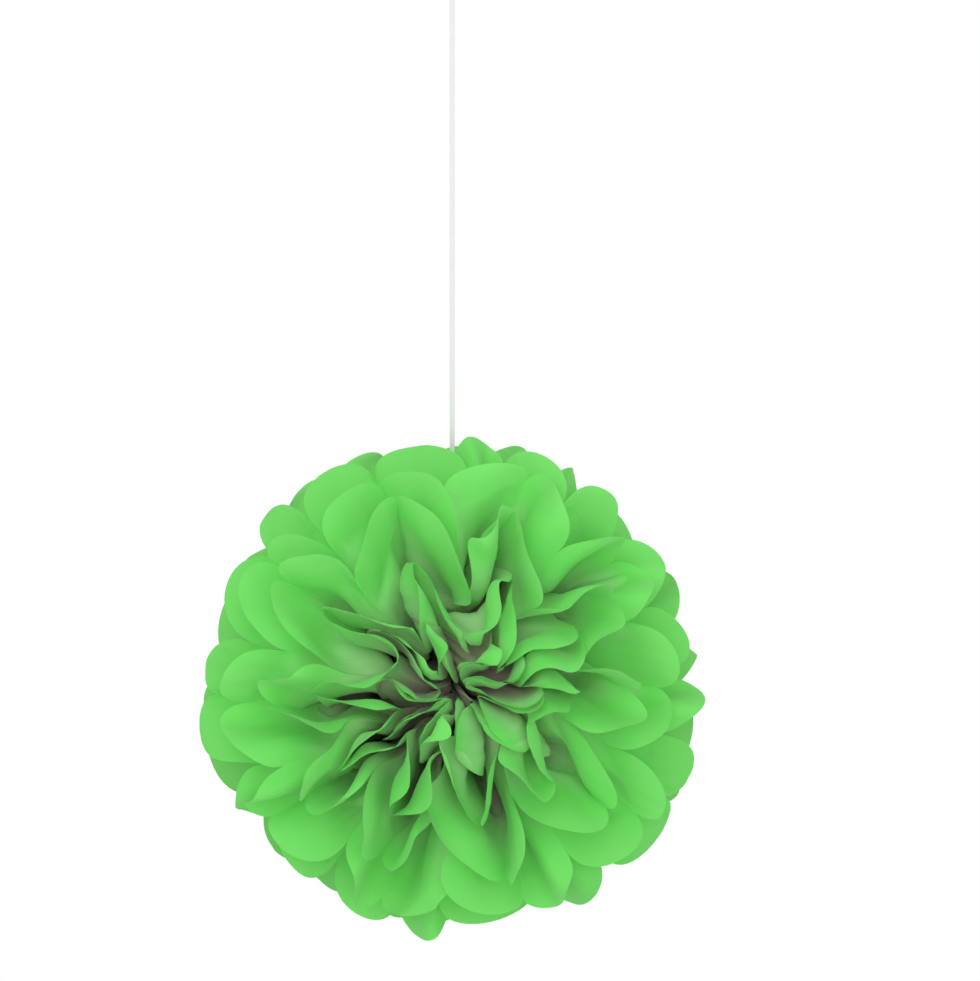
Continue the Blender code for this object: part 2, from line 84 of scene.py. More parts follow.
class Signal:
    """One output of a node, with arithmetic that adds Math nodes to its tree."""

    def __init__(self, board: "NodeBoard", socket: bpy.types.NodeSocket) -> None:
        """Wrap an output socket of a tree."""
        self.board = board
        self.socket = socket

    def math(self, operation: str, *others: "Signal | float") -> "Signal":
        """Result of a Math node with this value first."""
        return self.board.math(operation, self, *others)

    def __add__(self, other: "Signal | float") -> "Signal":
        """Sum."""
        return self.board.math("ADD", self, other)

    __radd__ = __add__

    def __mul__(self, other: "Signal | float") -> "Signal":
        """Product."""
        return self.board.math("MULTIPLY", self, other)

    __rmul__ = __mul__

    def __sub__(self, other: "Signal | float") -> "Signal":
        """Difference."""
        return self.board.math("SUBTRACT", self, other)

    def __rsub__(self, other: "Signal | float") -> "Signal":
        """Difference, from a number."""
        return self.board.math("SUBTRACT", other, self)

    def __truediv__(self, other: "Signal | float") -> "Signal":
        """Quotient."""
        return self.board.math("DIVIDE", self, other)

    def rise(self, start: float, stop: float) -> "Signal":
        """Smooth step from 0 at start to 1 at stop.

        Args:
            start: Value where the step begins.
            stop: Value where it ends.

        Returns:
            The step, clamped to 0 and 1.
        """
        settings = {"interpolation_type": "SMOOTHSTEP"}
        values = {0: self, 1: start, 2: stop, 3: 0.0, 4: 1.0}
        return self.board.node("ShaderNodeMapRange", settings, values)[0]


class NodeBoard:
    """Node tree, of a material or of geometry, that is filled from expressions."""

    def __init__(self, tree: bpy.types.NodeTree) -> None:
        """Take a tree and empty it."""
        self.tree = tree
        tree.nodes.clear()

    def node(
        self,
        kind: str,
        settings: dict[str, object] | None = None,
        values: dict[int | str, object] | None = None,
    ) -> "NodeOutputs":
        """Add a node.

        Args:
            kind: Type of the node.
            settings: Its own settings, set before its sockets are used.
            values: Numbers, vectors or signals of its input sockets, by place or name.

        Returns:
            Its outputs, by place or name.
        """
        made = self.tree.nodes.new(kind)
        for name, value in (settings or {}).items():
            setattr(made, name, value)
        for key, value in (values or {}).items():
            socket = made.inputs[key]
            if isinstance(value, Signal):
                self.tree.links.new(value.socket, socket)
            else:
                socket.default_value = value
        return NodeOutputs(self, made)

    def math(self, operation: str, *values: "Signal | float") -> Signal:
        """Result of a Math node."""
        return self.node("ShaderNodeMath", {"operation": operation}, dict(enumerate(values)))[0]

    def vector_math(self, operation: str, *values: object) -> "NodeOutputs":
        """Outputs of a Vector Math node."""
        return self.node("ShaderNodeVectorMath", {"operation": operation}, dict(enumerate(values)))

    def mix(self, factor: "Signal | float", low: object, high: object) -> Signal:
        """Blend two colours.

        Args:
            factor: 0 for low, 1 for high.
            low: First colour.
            high: Second colour.

        Returns:
            The blend.
        """
        colours = [(*c, 1.0) if isinstance(c, tuple) else c for c in (low, high)]
        values = {0: factor, 6: colours[0], 7: colours[1]}
        return self.node("ShaderNodeMix", {"data_type": "RGBA"}, values)[2]

    def noise(self, place: Signal, scale: float, detail: float = 2.0, seed: float = 0.0) -> Signal:
        """Even noise from 0 to 1, with scale waves in one unit of place."""
        values = {"Vector": place, "W": seed, "Scale": scale, "Detail": detail, "Roughness": 0.55}
        return self.node("ShaderNodeTexNoise", {"noise_dimensions": "4D"}, values)["Fac"]

    def attribute(self, name: str) -> "NodeOutputs":
        """Read an attribute of the mesh, in a material."""
        return self.node("ShaderNodeAttribute", {"attribute_name": name})

    def object_place(self) -> Signal:
        """Place on the object, in metres."""
        return self.node("ShaderNodeTexCoord")["Object"]

    def split(self, vector: Signal) -> "NodeOutputs":
        """Take a vector apart into X, Y and Z."""
        return self.node("ShaderNodeSeparateXYZ", None, {0: vector})

    def join(self, *parts: "Signal | float") -> Signal:
        """Make a vector of X, Y and Z, with 0 for what is left out."""
        return self.node("ShaderNodeCombineXYZ", None, dict(enumerate(parts)))[0]

    def bump(self, strength: float, distance: float, height: Signal) -> Signal:
        """Normals of a fine relief."""
        values = {"Strength": strength, "Distance": distance, "Height": height}
        return self.node("ShaderNodeBump", None, values)[0]

    def principled(self, values: dict[int | str, object]) -> Signal:
        """Main surface shader."""
        return self.node("ShaderNodeBsdfPrincipled", None, values)[0]

    def mix_shaders(self, share: Signal, first: Signal, second: Signal) -> Signal:
        """Blend two shaders."""
        return self.node("ShaderNodeMixShader", None, {0: share, 1: first, 2: second})[0]

    def hand_out_surface(self, shader: Signal) -> None:
        """Let a shader be the surface of the material."""
        self.node("ShaderNodeOutputMaterial", None, {"Surface": shader})

    def store(self, shape: Signal, name: str, kind: str, value: Signal) -> Signal:
        """Keep a value under a name at each point of a shape."""
        values = {0: shape, "Name": name, "Value": value}
        return self.node(
            "GeometryNodeStoreNamedAttribute", {"data_type": kind, "domain": "POINT"}, values
        )[0]

    def recall(self, name: str, kind: str) -> Signal:
        """Read a value that is kept under a name."""
        return self.node("GeometryNodeInputNamedAttribute", {"data_type": kind}, {0: name})[0]

    def hand_out_shape(self, shape: Signal, finish: Signal) -> None:
        """End a geometry tree with its shape smooth, real and in its finish.

        Args:
            shape: Geometry to hand out.
            finish: Its material.
        """
        smooth = self.node("GeometryNodeSetShadeSmooth", None, {0: shape})[0]
        real = self.node("GeometryNodeRealizeInstances", None, {0: smooth})[0]
        dressed = self.node("GeometryNodeSetMaterial", None, {0: real, "Material": finish})[0]
        self.node("NodeGroupOutput", None, {0: dressed})


class NodeOutputs:
    """Outputs of a node as signals."""

    def __init__(self, board: NodeBoard, made: bpy.types.Node) -> None:
        """Wrap a node of a tree."""
        self.board = board
        self.made = made

    def __getitem__(self, key: int | str) -> Signal:
        """Output by place or name."""
        return Signal(self.board, self.made.outputs[key])


def surface_board(name: str) -> tuple[bpy.types.Material, NodeBoard]:
    """Start a material.

    Args:
        name: Its name.

    Returns:
        The material and its empty tree.
    """
    made = bpy.data.materials.new(name)
    made.use_nodes = True
    return made, NodeBoard(made.node_tree)


def geometry_board(
    name: str, inputs: dict[str, Input]
) -> tuple[NodeBoard, NodeOutputs, dict[str, str]]:
    """Start a geometry tree with named inputs.

    Args:
        name: Its name.
        inputs: Kind of each input after the geometry, by name.

    Returns:
        The tree, its Group Input and the identifier of each input.
    """
    tree = bpy.data.node_groups.new(name, "GeometryNodeTree")
    tree.is_modifier = True
    sockets = tree.interface
    sockets.new_socket("Geometry", in_out="OUTPUT", socket_type="NodeSocketGeometry")
    sockets.new_socket("Geometry", in_out="INPUT", socket_type="NodeSocketGeometry")
    known = {}
    for label, kind in inputs.items():
        made = sockets.new_socket(label, in_out="INPUT", socket_type=kind.value)
        known[label] = made.identifier
    board = NodeBoard(tree)
    return board, board.node("NodeGroupInput"), known


def run_tree(
    source: bpy.types.Object,
    board: NodeBoard,
    known: dict[str, str],
    values: dict[str, object],
) -> bpy.types.Mesh:
    """Run a geometry tree on an object and keep the result as a plain mesh.

    Args:
        source: Object that the tree works on; it is removed afterwards.
        board: The tree.
        known: Identifier of each input.
        values: Value of each input, by name.

    Returns:
        The mesh.
    """
    step = source.modifiers.new("rule", "NODES")
    step.node_group = board.tree
    for label, value in values.items():
        step[known[label]] = value
    depsgraph = bpy.context.evaluated_depsgraph_get()
    depsgraph.update()
    mesh = bpy.data.meshes.new_from_object(source.evaluated_get(depsgraph))
    source.modifiers.remove(step)
    data = source.data
    bpy.data.objects.remove(source, do_unlink=True)
    if isinstance(data, bpy.types.Mesh):
        bpy.data.meshes.remove(data)
    else:
        bpy.data.curves.remove(data)
    return mesh


def show(name: str, data: bpy.types.ID) -> bpy.types.Object:
    """Link mesh or curve data as an object at the origin.

    Args:
        name: Name of the object.
        data: Its mesh or curve.

    Returns:
        The object.
    """
    made = bpy.data.objects.new(name, data)
    bpy.context.scene.collection.objects.link(made)
    return made


def dress(piece: bpy.types.Object, node: str) -> None:
    """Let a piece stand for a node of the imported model.

    Args:
        piece: The finished piece.
        node: Node that it replaces.
    """
    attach(piece, BODY)
    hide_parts(node)
    LOG.info("%s: %d faces", piece.name, len(piece.data.polygons))


# Finishes


@dataclass(frozen=True)
class TissueFinish:
    """Thin dyed tissue with loose fibres, soft creases and light shining through, with shade
    painted into its colour deep between the petals.
    """

    colour: Colour = (0.172, 0.795, 0.130)  # of the open paper
    pale: Colour = (0.194, 0.825, 0.152)  # of its paler clouds and fibres
    shade: Colour = (0.490, 0.870, 0.400)  # painted half shade, where a petal starts to lie between others
    painted_shade: Colour = (0.420, 0.350, 0.295)  # painted shade, far between the petals
    painted_lift: Colour = (0.860, 0.740, 0.650)  # painted light: a paler tone that lifts the painted shade where hardly any lamp reaches
    shining: Colour = (0.430, 0.820, 0.330)  # of the light that comes through
    painted_lift_to: float = 0.24  # shares of open air, at which the painted shade and painted light colours start and end
    painted_shade_from: float = 0.22
    painted_shade_to: float = 0.44
    painted_half_shade_to: float = 0.86
    painted_shade_drift: float = 0.10
    roughness: float = 0.72
    roughness_change: float = 0.12
    gloss: float = 0.36
    through: float = 0.22
    through_change: float = 0.10
    sheen: float = 0.06
    fibre: float = 0.0009
    fibre_stretch: float = 0.22
    cloud: float = 0.0050
    drift: float = 16.0  # waves in a metre
    crease_width: float = 0.0009
    fibre_tint: float = 0.55
    cloud_tint: float = 0.7
    drift_tint: float = 0.9
    crease_tint: float = 0.35
    middle_tint: float = 0.35
    fibre_relief: float = 0.25
    cloud_relief: float = 0.6
    crease_relief: float = 0.8
    relief: float = 0.0006
    relief_strength: float = 0.30

    def material(self, name: str, seed: float) -> bpy.types.Material:
        """Make the material of one sheet.

        Args:
            name: Its name.
            seed: Number that moves the patterns, so that no two sheets are alike.

        Returns:
            The material.
        """
        made, board = surface_board(name)
        paper = board.attribute("paper_place")[1]
        grain = board.vector_math("MULTIPLY", paper, (1.0, self.fibre_stretch, 1.0))[0]
        fibres = board.noise(grain, 1.0 / self.fibre, detail=3.0, seed=seed) - 0.5
        clouds = board.noise(paper, 1.0 / self.cloud, detail=3.0, seed=seed + 1.0) - 0.5
        drift = board.noise(board.object_place(), self.drift, seed=seed + 2.0) - 0.5
        crease = self.crease_line(board.split(paper)[0])
        change = fibres * self.fibre_tint + clouds * self.cloud_tint + drift * self.drift_tint
        change = (change + crease * self.crease_tint + self.middle_tint).math("MAXIMUM", 0.0)
        tint = board.mix(change, self.colour, self.pale)
        # Painted shade: the baked share of open air, with a slow drift, darkens the colour between
        # the petals and leaves open paper in its own tint.
        depth = board.attribute("openness")[2] + drift * self.painted_shade_drift
        outside_painted_shade = depth.rise(self.painted_shade_from, self.painted_shade_to)
        lit = board.mix(depth.rise(self.painted_shade_to, self.painted_half_shade_to), self.shade, tint)
        # Painted light: in the most sheltered places the painted shade turns paler, so that they do
        # not go black.
        painted_deep_shade = board.mix(depth.rise(0.0, self.painted_lift_to), self.painted_lift, self.painted_shade)
        relief = fibres * self.fibre_relief + clouds * self.cloud_relief
        relief = relief + crease * self.crease_relief
        base = {
            "Base Color": board.mix(outside_painted_shade, painted_deep_shade, lit),
            "Roughness": clouds * self.roughness_change + self.roughness,
            "Specular IOR Level": self.gloss,
            "Sheen Weight": self.sheen,
            "Normal": board.bump(self.relief_strength, self.relief, relief),
        }
        glow = board.node("ShaderNodeBsdfTranslucent", None, {"Color": (*self.shining, 1.0)})[0]
        # Where the shade is painted, the light shining through is cut back too.
        share = outside_painted_shade * (clouds * self.through_change + self.through)
        board.hand_out_surface(board.mix_shaders(share, board.principled(base), glow))
        return made

    def crease_line(self, across: Signal) -> Signal:
        """1 on the pressed lines between the panels, 0 elsewhere; across is in panels."""
        near = (across + 0.5).math("FRACT") - 0.5
        return 1.0 - near.math("ABSOLUTE").rise(0.0, self.crease_width / PANEL_WIDTH * 2.0)


@dataclass(frozen=True)
class RibbonFinish:
    """White satin weave with a firmer edge on both sides."""

    colour: Colour = (0.84, 0.84, 0.83)
    shadow: Colour = (0.70, 0.70, 0.70)
    thread: float = 0.00035
    warp: Place = (60.0, 9000.0, 1.0)  # waves in a metre, along and across the band
    half_width: float = 0.002
    edge_width: float = 0.14  # of the whole width
    roughness: float = 0.52
    roughness_change: float = 0.2
    sheen: float = 0.25
    weft_tint: float = 0.35
    warp_tint: float = 0.35
    edge_tint: float = 0.30
    weft_relief: float = 0.5
    warp_relief: float = 0.4
    edge_relief: float = 0.6
    relief: float = 0.00012
    relief_strength: float = 0.35

    def material(self, name: str) -> bpy.types.Material:
        """Make the material.

        Args:
            name: Its name.

        Returns:
            The material.
        """
        made, board = surface_board(name)
        band = board.attribute("band_place")[1]
        parts = board.split(band)
        weft = (parts[0] * (2.0 * math.pi / self.thread)).math("SINE") * 0.5 + 0.5
        warp = board.noise(board.vector_math("MULTIPLY", band, self.warp)[0], 1.0, seed=4.0)
        edge = (parts[1].math("ABSOLUTE") / self.half_width).rise(1.0 - 2 * self.edge_width, 1.0)
        shade = weft * self.weft_tint + warp * self.warp_tint + edge * self.edge_tint
        height = weft * self.weft_relief + warp * self.warp_relief + edge * self.edge_relief
        base = {
            "Base Color": board.mix(shade, self.shadow, self.colour),
            "Roughness": self.roughness - warp * self.roughness_change,
            "Sheen Weight": self.sheen,
            "Normal": board.bump(self.relief_strength, self.relief, height),
        }
        board.hand_out_surface(board.principled(base))
        return made


@dataclass(frozen=True)
class WireFinish:
    """Soft galvanised wire with drawn lines and dull spots."""

    colour: Colour = (0.46, 0.46, 0.45)
    dull: Colour = (0.26, 0.26, 0.25)
    spot: float = 900.0  # waves in a metre
    line: Place = (4000.0, 4000.0, 400.0)
    dull_from: float = 0.35
    dull_to: float = 0.7
    roughness: float = 0.32
    roughness_change: float = 0.25
    spot_relief: float = 0.5
    relief: float = 0.00005
    relief_strength: float = 0.2

    def material(self, name: str) -> bpy.types.Material:
        """Make the material.

        Args:
            name: Its name.

        Returns:
            The material.
        """
        made, board = surface_board(name)
        place = board.object_place()
        spots = board.noise(place, self.spot, detail=3.0, seed=1.0)
        drawn = board.vector_math("MULTIPLY", place, self.line)[0]
        lines = board.noise(drawn, 1.0, detail=1.0, seed=2.0)
        dulled = spots.rise(self.dull_from, self.dull_to)
        height = lines + spots * self.spot_relief
        base = {
            "Base Color": board.mix(dulled, self.colour, self.dull),
            "Metallic": 1.0,
            "Roughness": spots * self.roughness_change + self.roughness,
            "Normal": board.bump(self.relief_strength, self.relief, height),
        }
        board.hand_out_surface(board.principled(base))
        return made


# Air that moves the petals


@dataclass(frozen=True)
class Draught:
    """Gentle swirl that bends all sheets together, so that they stay clear of each other."""

    size: float
    reach: float
    seed: int
    polar: float = 0.0  # width round the poles outside of which it fades; 0 for everywhere
    waves: int = 22
    shortest: float = 0.75  # wave, of the size
    longest: float = 1.6
    steps: int = 10
    calm_from: float = 0.020
    calm_to: float = 0.100
    ribbon_clear: float = 0.007
    ribbon_far: float = 0.040

    def swirl(self) -> Callable[[np.ndarray], np.ndarray]:
        """Make the flow as a sum of waves without sources.

        Returns:
            Function from points to velocities.
        """
        chance = np.random.default_rng(self.seed)
        direction = unit(chance.normal(size=(self.waves, 3)))
        length = self.size * chance.uniform(self.shortest, self.longest, size=(self.waves, 1))
        vectors = direction * (2.0 * math.pi / length)
        push = unit(np.cross(vectors, chance.normal(size=(self.waves, 3))))
        phase = chance.uniform(0.0, 2.0 * math.pi, size=self.waves)
        strength = self.reach * math.sqrt(2.0 / self.waves)

        def flow(points: np.ndarray) -> np.ndarray:
            """Velocity of the air at each point."""
            return np.cos(points @ vectors.T + phase) @ push * strength

        return flow

    def freedom(self, points: np.ndarray) -> np.ndarray:
        """Share of the flow that reaches a point: none at the waist and at the ribbon.

        Args:
            points: Array of points.

        Returns:
            Shares from 0 to 1.
        """
        radius = np.linalg.norm(points, axis=1)
        free = smooth_step(radius, self.calm_from, self.calm_to)
        beside = np.hypot(points[:, 0], points[:, 1])
        below = smooth_step(-points[:, 2], 0.0, self.ribbon_far)
        free *= np.maximum(smooth_step(beside, self.ribbon_clear, self.ribbon_far), below)
        if self.polar > 0.0:
            free *= np.exp(-((np.hypot(points[:, 0], points[:, 2]) / self.polar) ** 2))
        return free

    def move(self, points: np.ndarray) -> np.ndarray:
        """Carry points along the flow.

        Args:
            points: Array of points.

        Returns:
            Moved points.
        """
        flow = self.swirl()
        moved = points.copy()
        for _ in range(self.steps):
            moved += flow(moved) * self.freedom(moved)[:, None] / self.steps
        return moved


@dataclass(frozen=True)
class PoleGather:
    """Pull that sets the petals round both poles upright, over the gap between the halves."""

    share: float = 0.66
    width: float = math.radians(40.0)
    calm_to: float = 0.030
    full_from: float = 0.120

    def move(self, points: np.ndarray) -> np.ndarray:
        """Turn points towards the line through the poles, each at its own distance.

        Args:
            points: Array of points.

        Returns:
            Moved points.
        """
        radius = np.hypot(points[:, 0], points[:, 2])
        height = np.abs(points[:, 1])
        distance = np.hypot(radius, height)
        angle = np.arctan2(radius, np.maximum(height, TINY))
        pull = self.share * np.exp(-((angle / self.width) ** 2))
        turned = angle * (1.0 - pull * smooth_step(distance, self.calm_to, self.full_from))
        scale = distance * np.sin(turned) / np.maximum(radius, TINY)
        moved = points.copy()
        moved[:, 0] *= scale
        moved[:, 2] *= scale
        moved[:, 1] = np.sign(points[:, 1]) * distance * np.cos(turned)
        return moved


@dataclass(frozen=True)
class RoundShape:
    """Soft limit that keeps the longest petals near the round shape of the ball."""

    start: float = 0.186
    limit: float = 0.209

    def move(self, points: np.ndarray) -> np.ndarray:
        """Draw back the points that reach too far.

        Args:
            points: Array of points.

        Returns:
            Moved points.
        """
        distance = np.linalg.norm(points, axis=1)
        room = self.limit - self.start
        beyond = np.maximum(distance - self.start, 0.0)
        kept = np.minimum(distance, self.start) + room * np.tanh(beyond / room)
        return points * (kept / np.maximum(distance, TINY))[:, None]


def smooth_step(value: np.ndarray, start: float, stop: float) -> np.ndarray:
    """Smooth step from 0 at start to 1 at stop."""
    share = np.clip((value - start) / (stop - start), 0.0, 1.0)
    return share * share * (3.0 - 2.0 * share)


def unit(vectors: np.ndarray) -> np.ndarray:
    """Vectors of the same direction and length 1."""
    return vectors / np.maximum(np.linalg.norm(vectors, axis=-1, keepdims=True), TINY)


# Paper


@dataclass(frozen=True)
class Folding:
    """How the stack of sheets is cut, folded, tied and fluffed."""

    sheets: int = 5  # on each side
    strip: float = 0.406
    panels: int = 10
    width: float = PANEL_WIDTH
    rounding: float = 0.036
    pitch: float = 0.00085  # from sheet to sheet at the waist
    wall: float = 0.00045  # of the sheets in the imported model
    waist_width: float = 0.012
    waist_fold: float = 0.0006
    waist_reach: float = 0.003
    spread: float = math.radians(15.5)  # of the folds, to each side
    middle_room: float = math.radians(1.5)
    pole_room: float = math.radians(6.5)
    halves_gap: float = 0.0030
    length_variation: float = 0.010
    shared_wave: float = math.radians(4.0)
    own_wave: float = 0.10
    tilt_variation: float = 0.10
    turn_variation: float = 0.15
    seam_turn: float = 0.12
    settled: float = 0.020  # out from the waist, where the sheets reach their spread tilts
    straight: float = 0.035  # up to where each sheet is plain
    fold_station: float = 0.045  # where the petals swing freely
    open_station: float = 0.090  # where the folds are opened
    petal_station: float = 0.140  # where the tips begin

    @property
    def arc(self) -> float:
        """Angle of one panel round the pole."""
        return math.pi / self.panels

    @property
    def lowest(self) -> float:
        """Tilt of the sheet next to the middle."""
        return self.spread + self.middle_room

    @property
    def highest(self) -> float:
        """Tilt of the sheet next to the pole."""
        return math.pi / 2 - self.spread - self.pole_room

    @property
    def step(self) -> float:
        """Angle from one sheet to the next."""
        return (self.highest - self.lowest) / (self.sheets - 1)

    @property
    def cut_area(self) -> float:
        """Area of one sheet, cut with round panel ends and laid flat."""
        corner = self.width * self.rounding * (1.0 - math.pi / 4)
        return self.strip * self.width * self.panels - 2 * self.panels * corner


@dataclass(frozen=True)
class Fluffing:
    """How far the petals differ from the plain folds."""

    open_depth: float = 0.90  # of the fold depth that is left in the lowest sheet
    wave: float = 0.22  # swing that rounds a petal next to its creases, of the room of a panel
    bulge: float = 0.90  # of a whole petal to one side, of that swing
    bulge_variation: float = 0.35
    bend: float = math.radians(3.0)
    tip_curl: float = 0.18  # of the room of a panel
    tip_side: float = 0.008
    tip_uncurl: float = 0.6  # of the curl, the other way
    shift: float = 0.25  # of a sheet round the ball, of the angle of a panel
    shifts: tuple[float, ...] = (1.0, 0.2, -0.3, -0.6, -0.6)  # of each sheet, of that shift
    cross_turn: float = math.radians(7.0)
    cross_lift: float = math.radians(4.0)
    back_over: float = 1.5  # lifts of the crossing edges at the back, of that lift
    back_under: float = -0.25
    crumple: float = 0.0042
    crumple_gain: float = 0.9  # as much more of it next to the pole
    crumple_side: float = 20.0  # steps in the crumples from side to side
    crumple_step: float = 0.10  # and from sheet to sheet
    pleat_width: float = 0.011
    pleat_length: float = 0.075


@dataclass
class PaperSheet:
    """One sheet of tissue in fine detail, on the same folds as its solid."""

    side: Side
    index: int
    folding: Folding = field(default_factory=Folding)
    fluffing: Fluffing = field(default_factory=Fluffing)
    finish: TissueFinish = field(default_factory=TissueFinish)
    columns: int = 24  # faces across a panel
    rows: int = 60  # faces from the waist to a tip
    probe: float = 0.002  # step out from the waist that shows the direction of a panel

    def __post_init__(self) -> None:
        """Draw the small differences of this sheet."""
        fold = self.folding
        chance = self.luck(7, 100)
        self.tilt = fold.lowest + fold.step * self.index
        self.run = fold.pitch * (fold.sheets - self.index)
        self.reach = fold.strip / 2 - fold.waist_reach - self.run
        self.phase = chance.uniform(0.0, 2.0 * math.pi)
        self.seam = fold.seam_turn * fold.arc * (1 if self.index % 2 == 0 else -1)
        count = fold.panels + 1
        tilt_limit = fold.step * fold.tilt_variation
        turn_limit = fold.arc * fold.turn_variation
        length = fold.length_variation
        self.crease_tilt = self.draw(count, chance, -tilt_limit, tilt_limit)
        self.crease_turn = self.draw(count, chance, -turn_limit, turn_limit)
        for values in (*self.crease_turn.values(), *self.crease_tilt.values()):
            values[0] = values[-1] = 0.0
        self.crease_end = self.draw(count, chance, -length, length)
        self.petal_end = self.draw(fold.panels, chance, -length, 0.0)
        own = self.luck(500, 10)
        soft = self.fluffing
        uncurl = soft.tip_uncurl * soft.tip_curl
        self.tip_curl = self.draw(fold.panels, chance, -uncurl, soft.tip_curl)
        self.bulge = self.draw_bulges(chance)
        self.crease_bend = self.draw(count, own, -soft.bend, soft.bend)
        self.tip_side = self.draw(fold.panels, own, -soft.tip_side, soft.tip_side)
        self.shift = soft.shift * fold.arc * soft.shifts[self.index]

    @property
    def height(self) -> float:
        """0 for the sheet next to the middle, 1 for the one next to the pole."""
        return self.index / (self.folding.sheets - 1)

    @property
    def level(self) -> float:
        """Height of the sheet in the tied stack, over the middle plane."""
        return self.folding.pitch * (self.index + 0.5)

    def luck(self, start: int, step: int = 0) -> random.Random:
        """Source of small differences: of this sheet, or of its whole side for step 0."""
        return random.Random(start + step * self.index + self.side.value)

    @staticmethod
    def draw(count: int, chance: random.Random, low: float, high: float) -> dict[int, np.ndarray]:
        """Draw so many numbers from low to high for each half of the strip."""
        numbers = [[chance.uniform(low, high) for _ in range(count)] for _ in HALVES]
        return dict(zip(HALVES, np.array(numbers)))

    def draw_bulges(self, chance: random.Random) -> dict[int, np.ndarray]:
        """Choose to which side each panel bulges, much alike in neighbouring sheets.

        Args:
            chance: Source of this sheet's small differences.

        Returns:
            Shares of the bulge for each half.
        """
        shared = self.luck(900)
        count = self.folding.panels
        found = self.draw(count, chance, 1.0 - self.fluffing.bulge_variation, 1.0)
        for half in HALVES:
            sides = np.array([shared.choice((-1.0, 1.0)) for _ in range(count)])
            found[half] = (1.0 - self.height + self.height * sides) * found[half]
        return found

    @staticmethod
    def blend(values: np.ndarray, u: np.ndarray) -> np.ndarray:
        """Read numbers, one for each crease, at places between the creases."""
        j = np.minimum(u.astype(int), len(values) - 2)
        return values[j] + (values[j + 1] - values[j]) * (u - j)

    def room(self, out: np.ndarray, tilt: float) -> np.ndarray:
        """Room of one panel round the pole, at distances from the waist."""
        fold = self.folding
        return fold.waist_width / fold.panels + fold.arc * (self.run + out * math.cos(tilt))

    def half_depth(self, out: np.ndarray, tilt: float) -> np.ndarray:
        """Half the depth of the folds.

        Args:
            out: Distances from the waist.
            tilt: Tilt of the sheet.

        Returns:
            Depths, in metres.
        """
        fold = self.folding
        unfolded = np.sqrt(np.maximum(fold.width**2 - self.room(out, tilt) ** 2, 0.0)) / 2
        gathered = fold.waist_fold / 2 + out * math.tan(fold.spread)
        return np.minimum(unfolded, gathered)

    def tilt_at(self, out: np.ndarray) -> np.ndarray:
        """Tilt of the sheet at a distance from the waist.

        Args:
            out: Distances from the waist.

        Returns:
            Angles from the middle plane.
        """
        fold = self.folding
        far = np.maximum(out, TINY)
        low = fold.middle_room + np.arctan(self.half_depth(far, 0.0) / far)
        high = math.pi / 2 - fold.pole_room - np.arctan(self.half_depth(far, fold.highest) / far)
        spread = low + (high - low) * self.height
        return self.tilt + (spread - self.tilt) * smooth_step(out, 0.0, fold.settled)

    def waist(self, u: np.ndarray) -> tuple[np.ndarray, np.ndarray]:
        """Where the strip leaves the tied waist.

        Args:
            u: Places across the sheet, in panels.

        Returns:
            Distances from the middle of the ball, to the side and up.
        """
        fold = self.folding
        z = (u / fold.panels - 0.5) * fold.waist_width
        x = fold.waist_reach + np.sqrt(np.maximum((fold.waist_width / 2) ** 2 - z**2, 0.0))
        return x, z

    def edge(self, u: np.ndarray) -> np.ndarray:
        """Nearness to a free edge: 1 on it, 0 from one panel away."""
        return np.maximum(1.0 - np.minimum(u, self.folding.panels - u), 0.0)

    @staticmethod
    def zigzag(u: np.ndarray) -> np.ndarray:
        """Side of the folds: 1 on one crease, -1 on the next, even between them."""
        panel = np.floor(u)
        return (1.0 - 2.0 * (u - panel)) * np.where(panel % 2 == 0, 1.0, -1.0)

    def crossing(self, half: int, u: np.ndarray) -> tuple[np.ndarray, np.ndarray]:
        """Swing the free edges so that one half covers the other's at each seam.

        Args:
            half: Half of the strip, -1 or 1.
            u: Places across the sheet, in panels.

        Returns:
            Extra turn and extra tilt of the edge panels.
        """
        soft = self.fluffing
        edge = self.edge(u)
        top = u > self.folding.panels / 2
        over = top == (half < 0)
        outward = np.where(top, 1.0, -1.0)
        turn = np.where(over, soft.cross_turn, 0.0) * outward * edge
        if self.side is Side.FRONT:
            lift = np.where(over, 1.0, -1.0)
        else:
            lift = np.where(over, soft.back_under, soft.back_over)
        return turn, lift * soft.cross_lift * edge

    def crease_point(self, half: int, u: np.ndarray, out: np.ndarray) -> np.ndarray:
        """Place of a point of the plain folded sheet.

        Args:
            half: Half of the strip, -1 or 1.
            u: Places across the sheet, in panels.
            out: Distances from the waist.

        Returns:
            Points, one in each row.
        """
        fold = self.folding
        side = self.side.value
        shift = fold.waist_reach - (fold.halves_gap + fold.wall) / 2
        lean = np.arcsin(shift / np.maximum(self.run + out, fold.open_station))
        turn = (u / fold.panels - 0.5) * (math.pi + 2 * lean)
        free = np.maximum(0.0, out - fold.straight) / (self.reach - fold.straight)
        around = turn if half > 0 else math.pi - turn
        cross_turn, cross_tilt = self.crossing(half, u)
        tilt = self.tilt_at(out) + free * self.blend(self.crease_tilt[half], u)
        tilt = tilt + free * fold.shared_wave * np.sin(2 * around) * -side
        tilt = tilt + free * fold.own_wave * fold.step * np.sin(2 * around + self.phase)
        tilt = tilt + free**2 * self.blend(self.crease_bend[half], u) + free * cross_tilt
        turn = turn + free * (self.blend(self.crease_turn[half], u) + cross_turn)
        turn = turn - half * self.seam * self.edge(u)
        turn = turn - half * side * free * self.shift
        opening = (1.0 - self.fluffing.open_depth) * (1.0 - self.height**2)
        left = 1.0 - opening * smooth_step(out, 0.0, fold.open_station)
        lift = -side * self.half_depth(out, self.tilt) * self.zigzag(u) * left
        along = self.run + out * np.cos(tilt) - lift * np.sin(tilt)
        away = out * np.sin(tilt) + lift * np.cos(tilt)
        x, z = self.waist(u)
        points = (
            half * (x + along * np.cos(turn)),
            side * (self.level + away),
            z + along * np.sin(turn),
        )
        return np.stack(points, axis=-1)

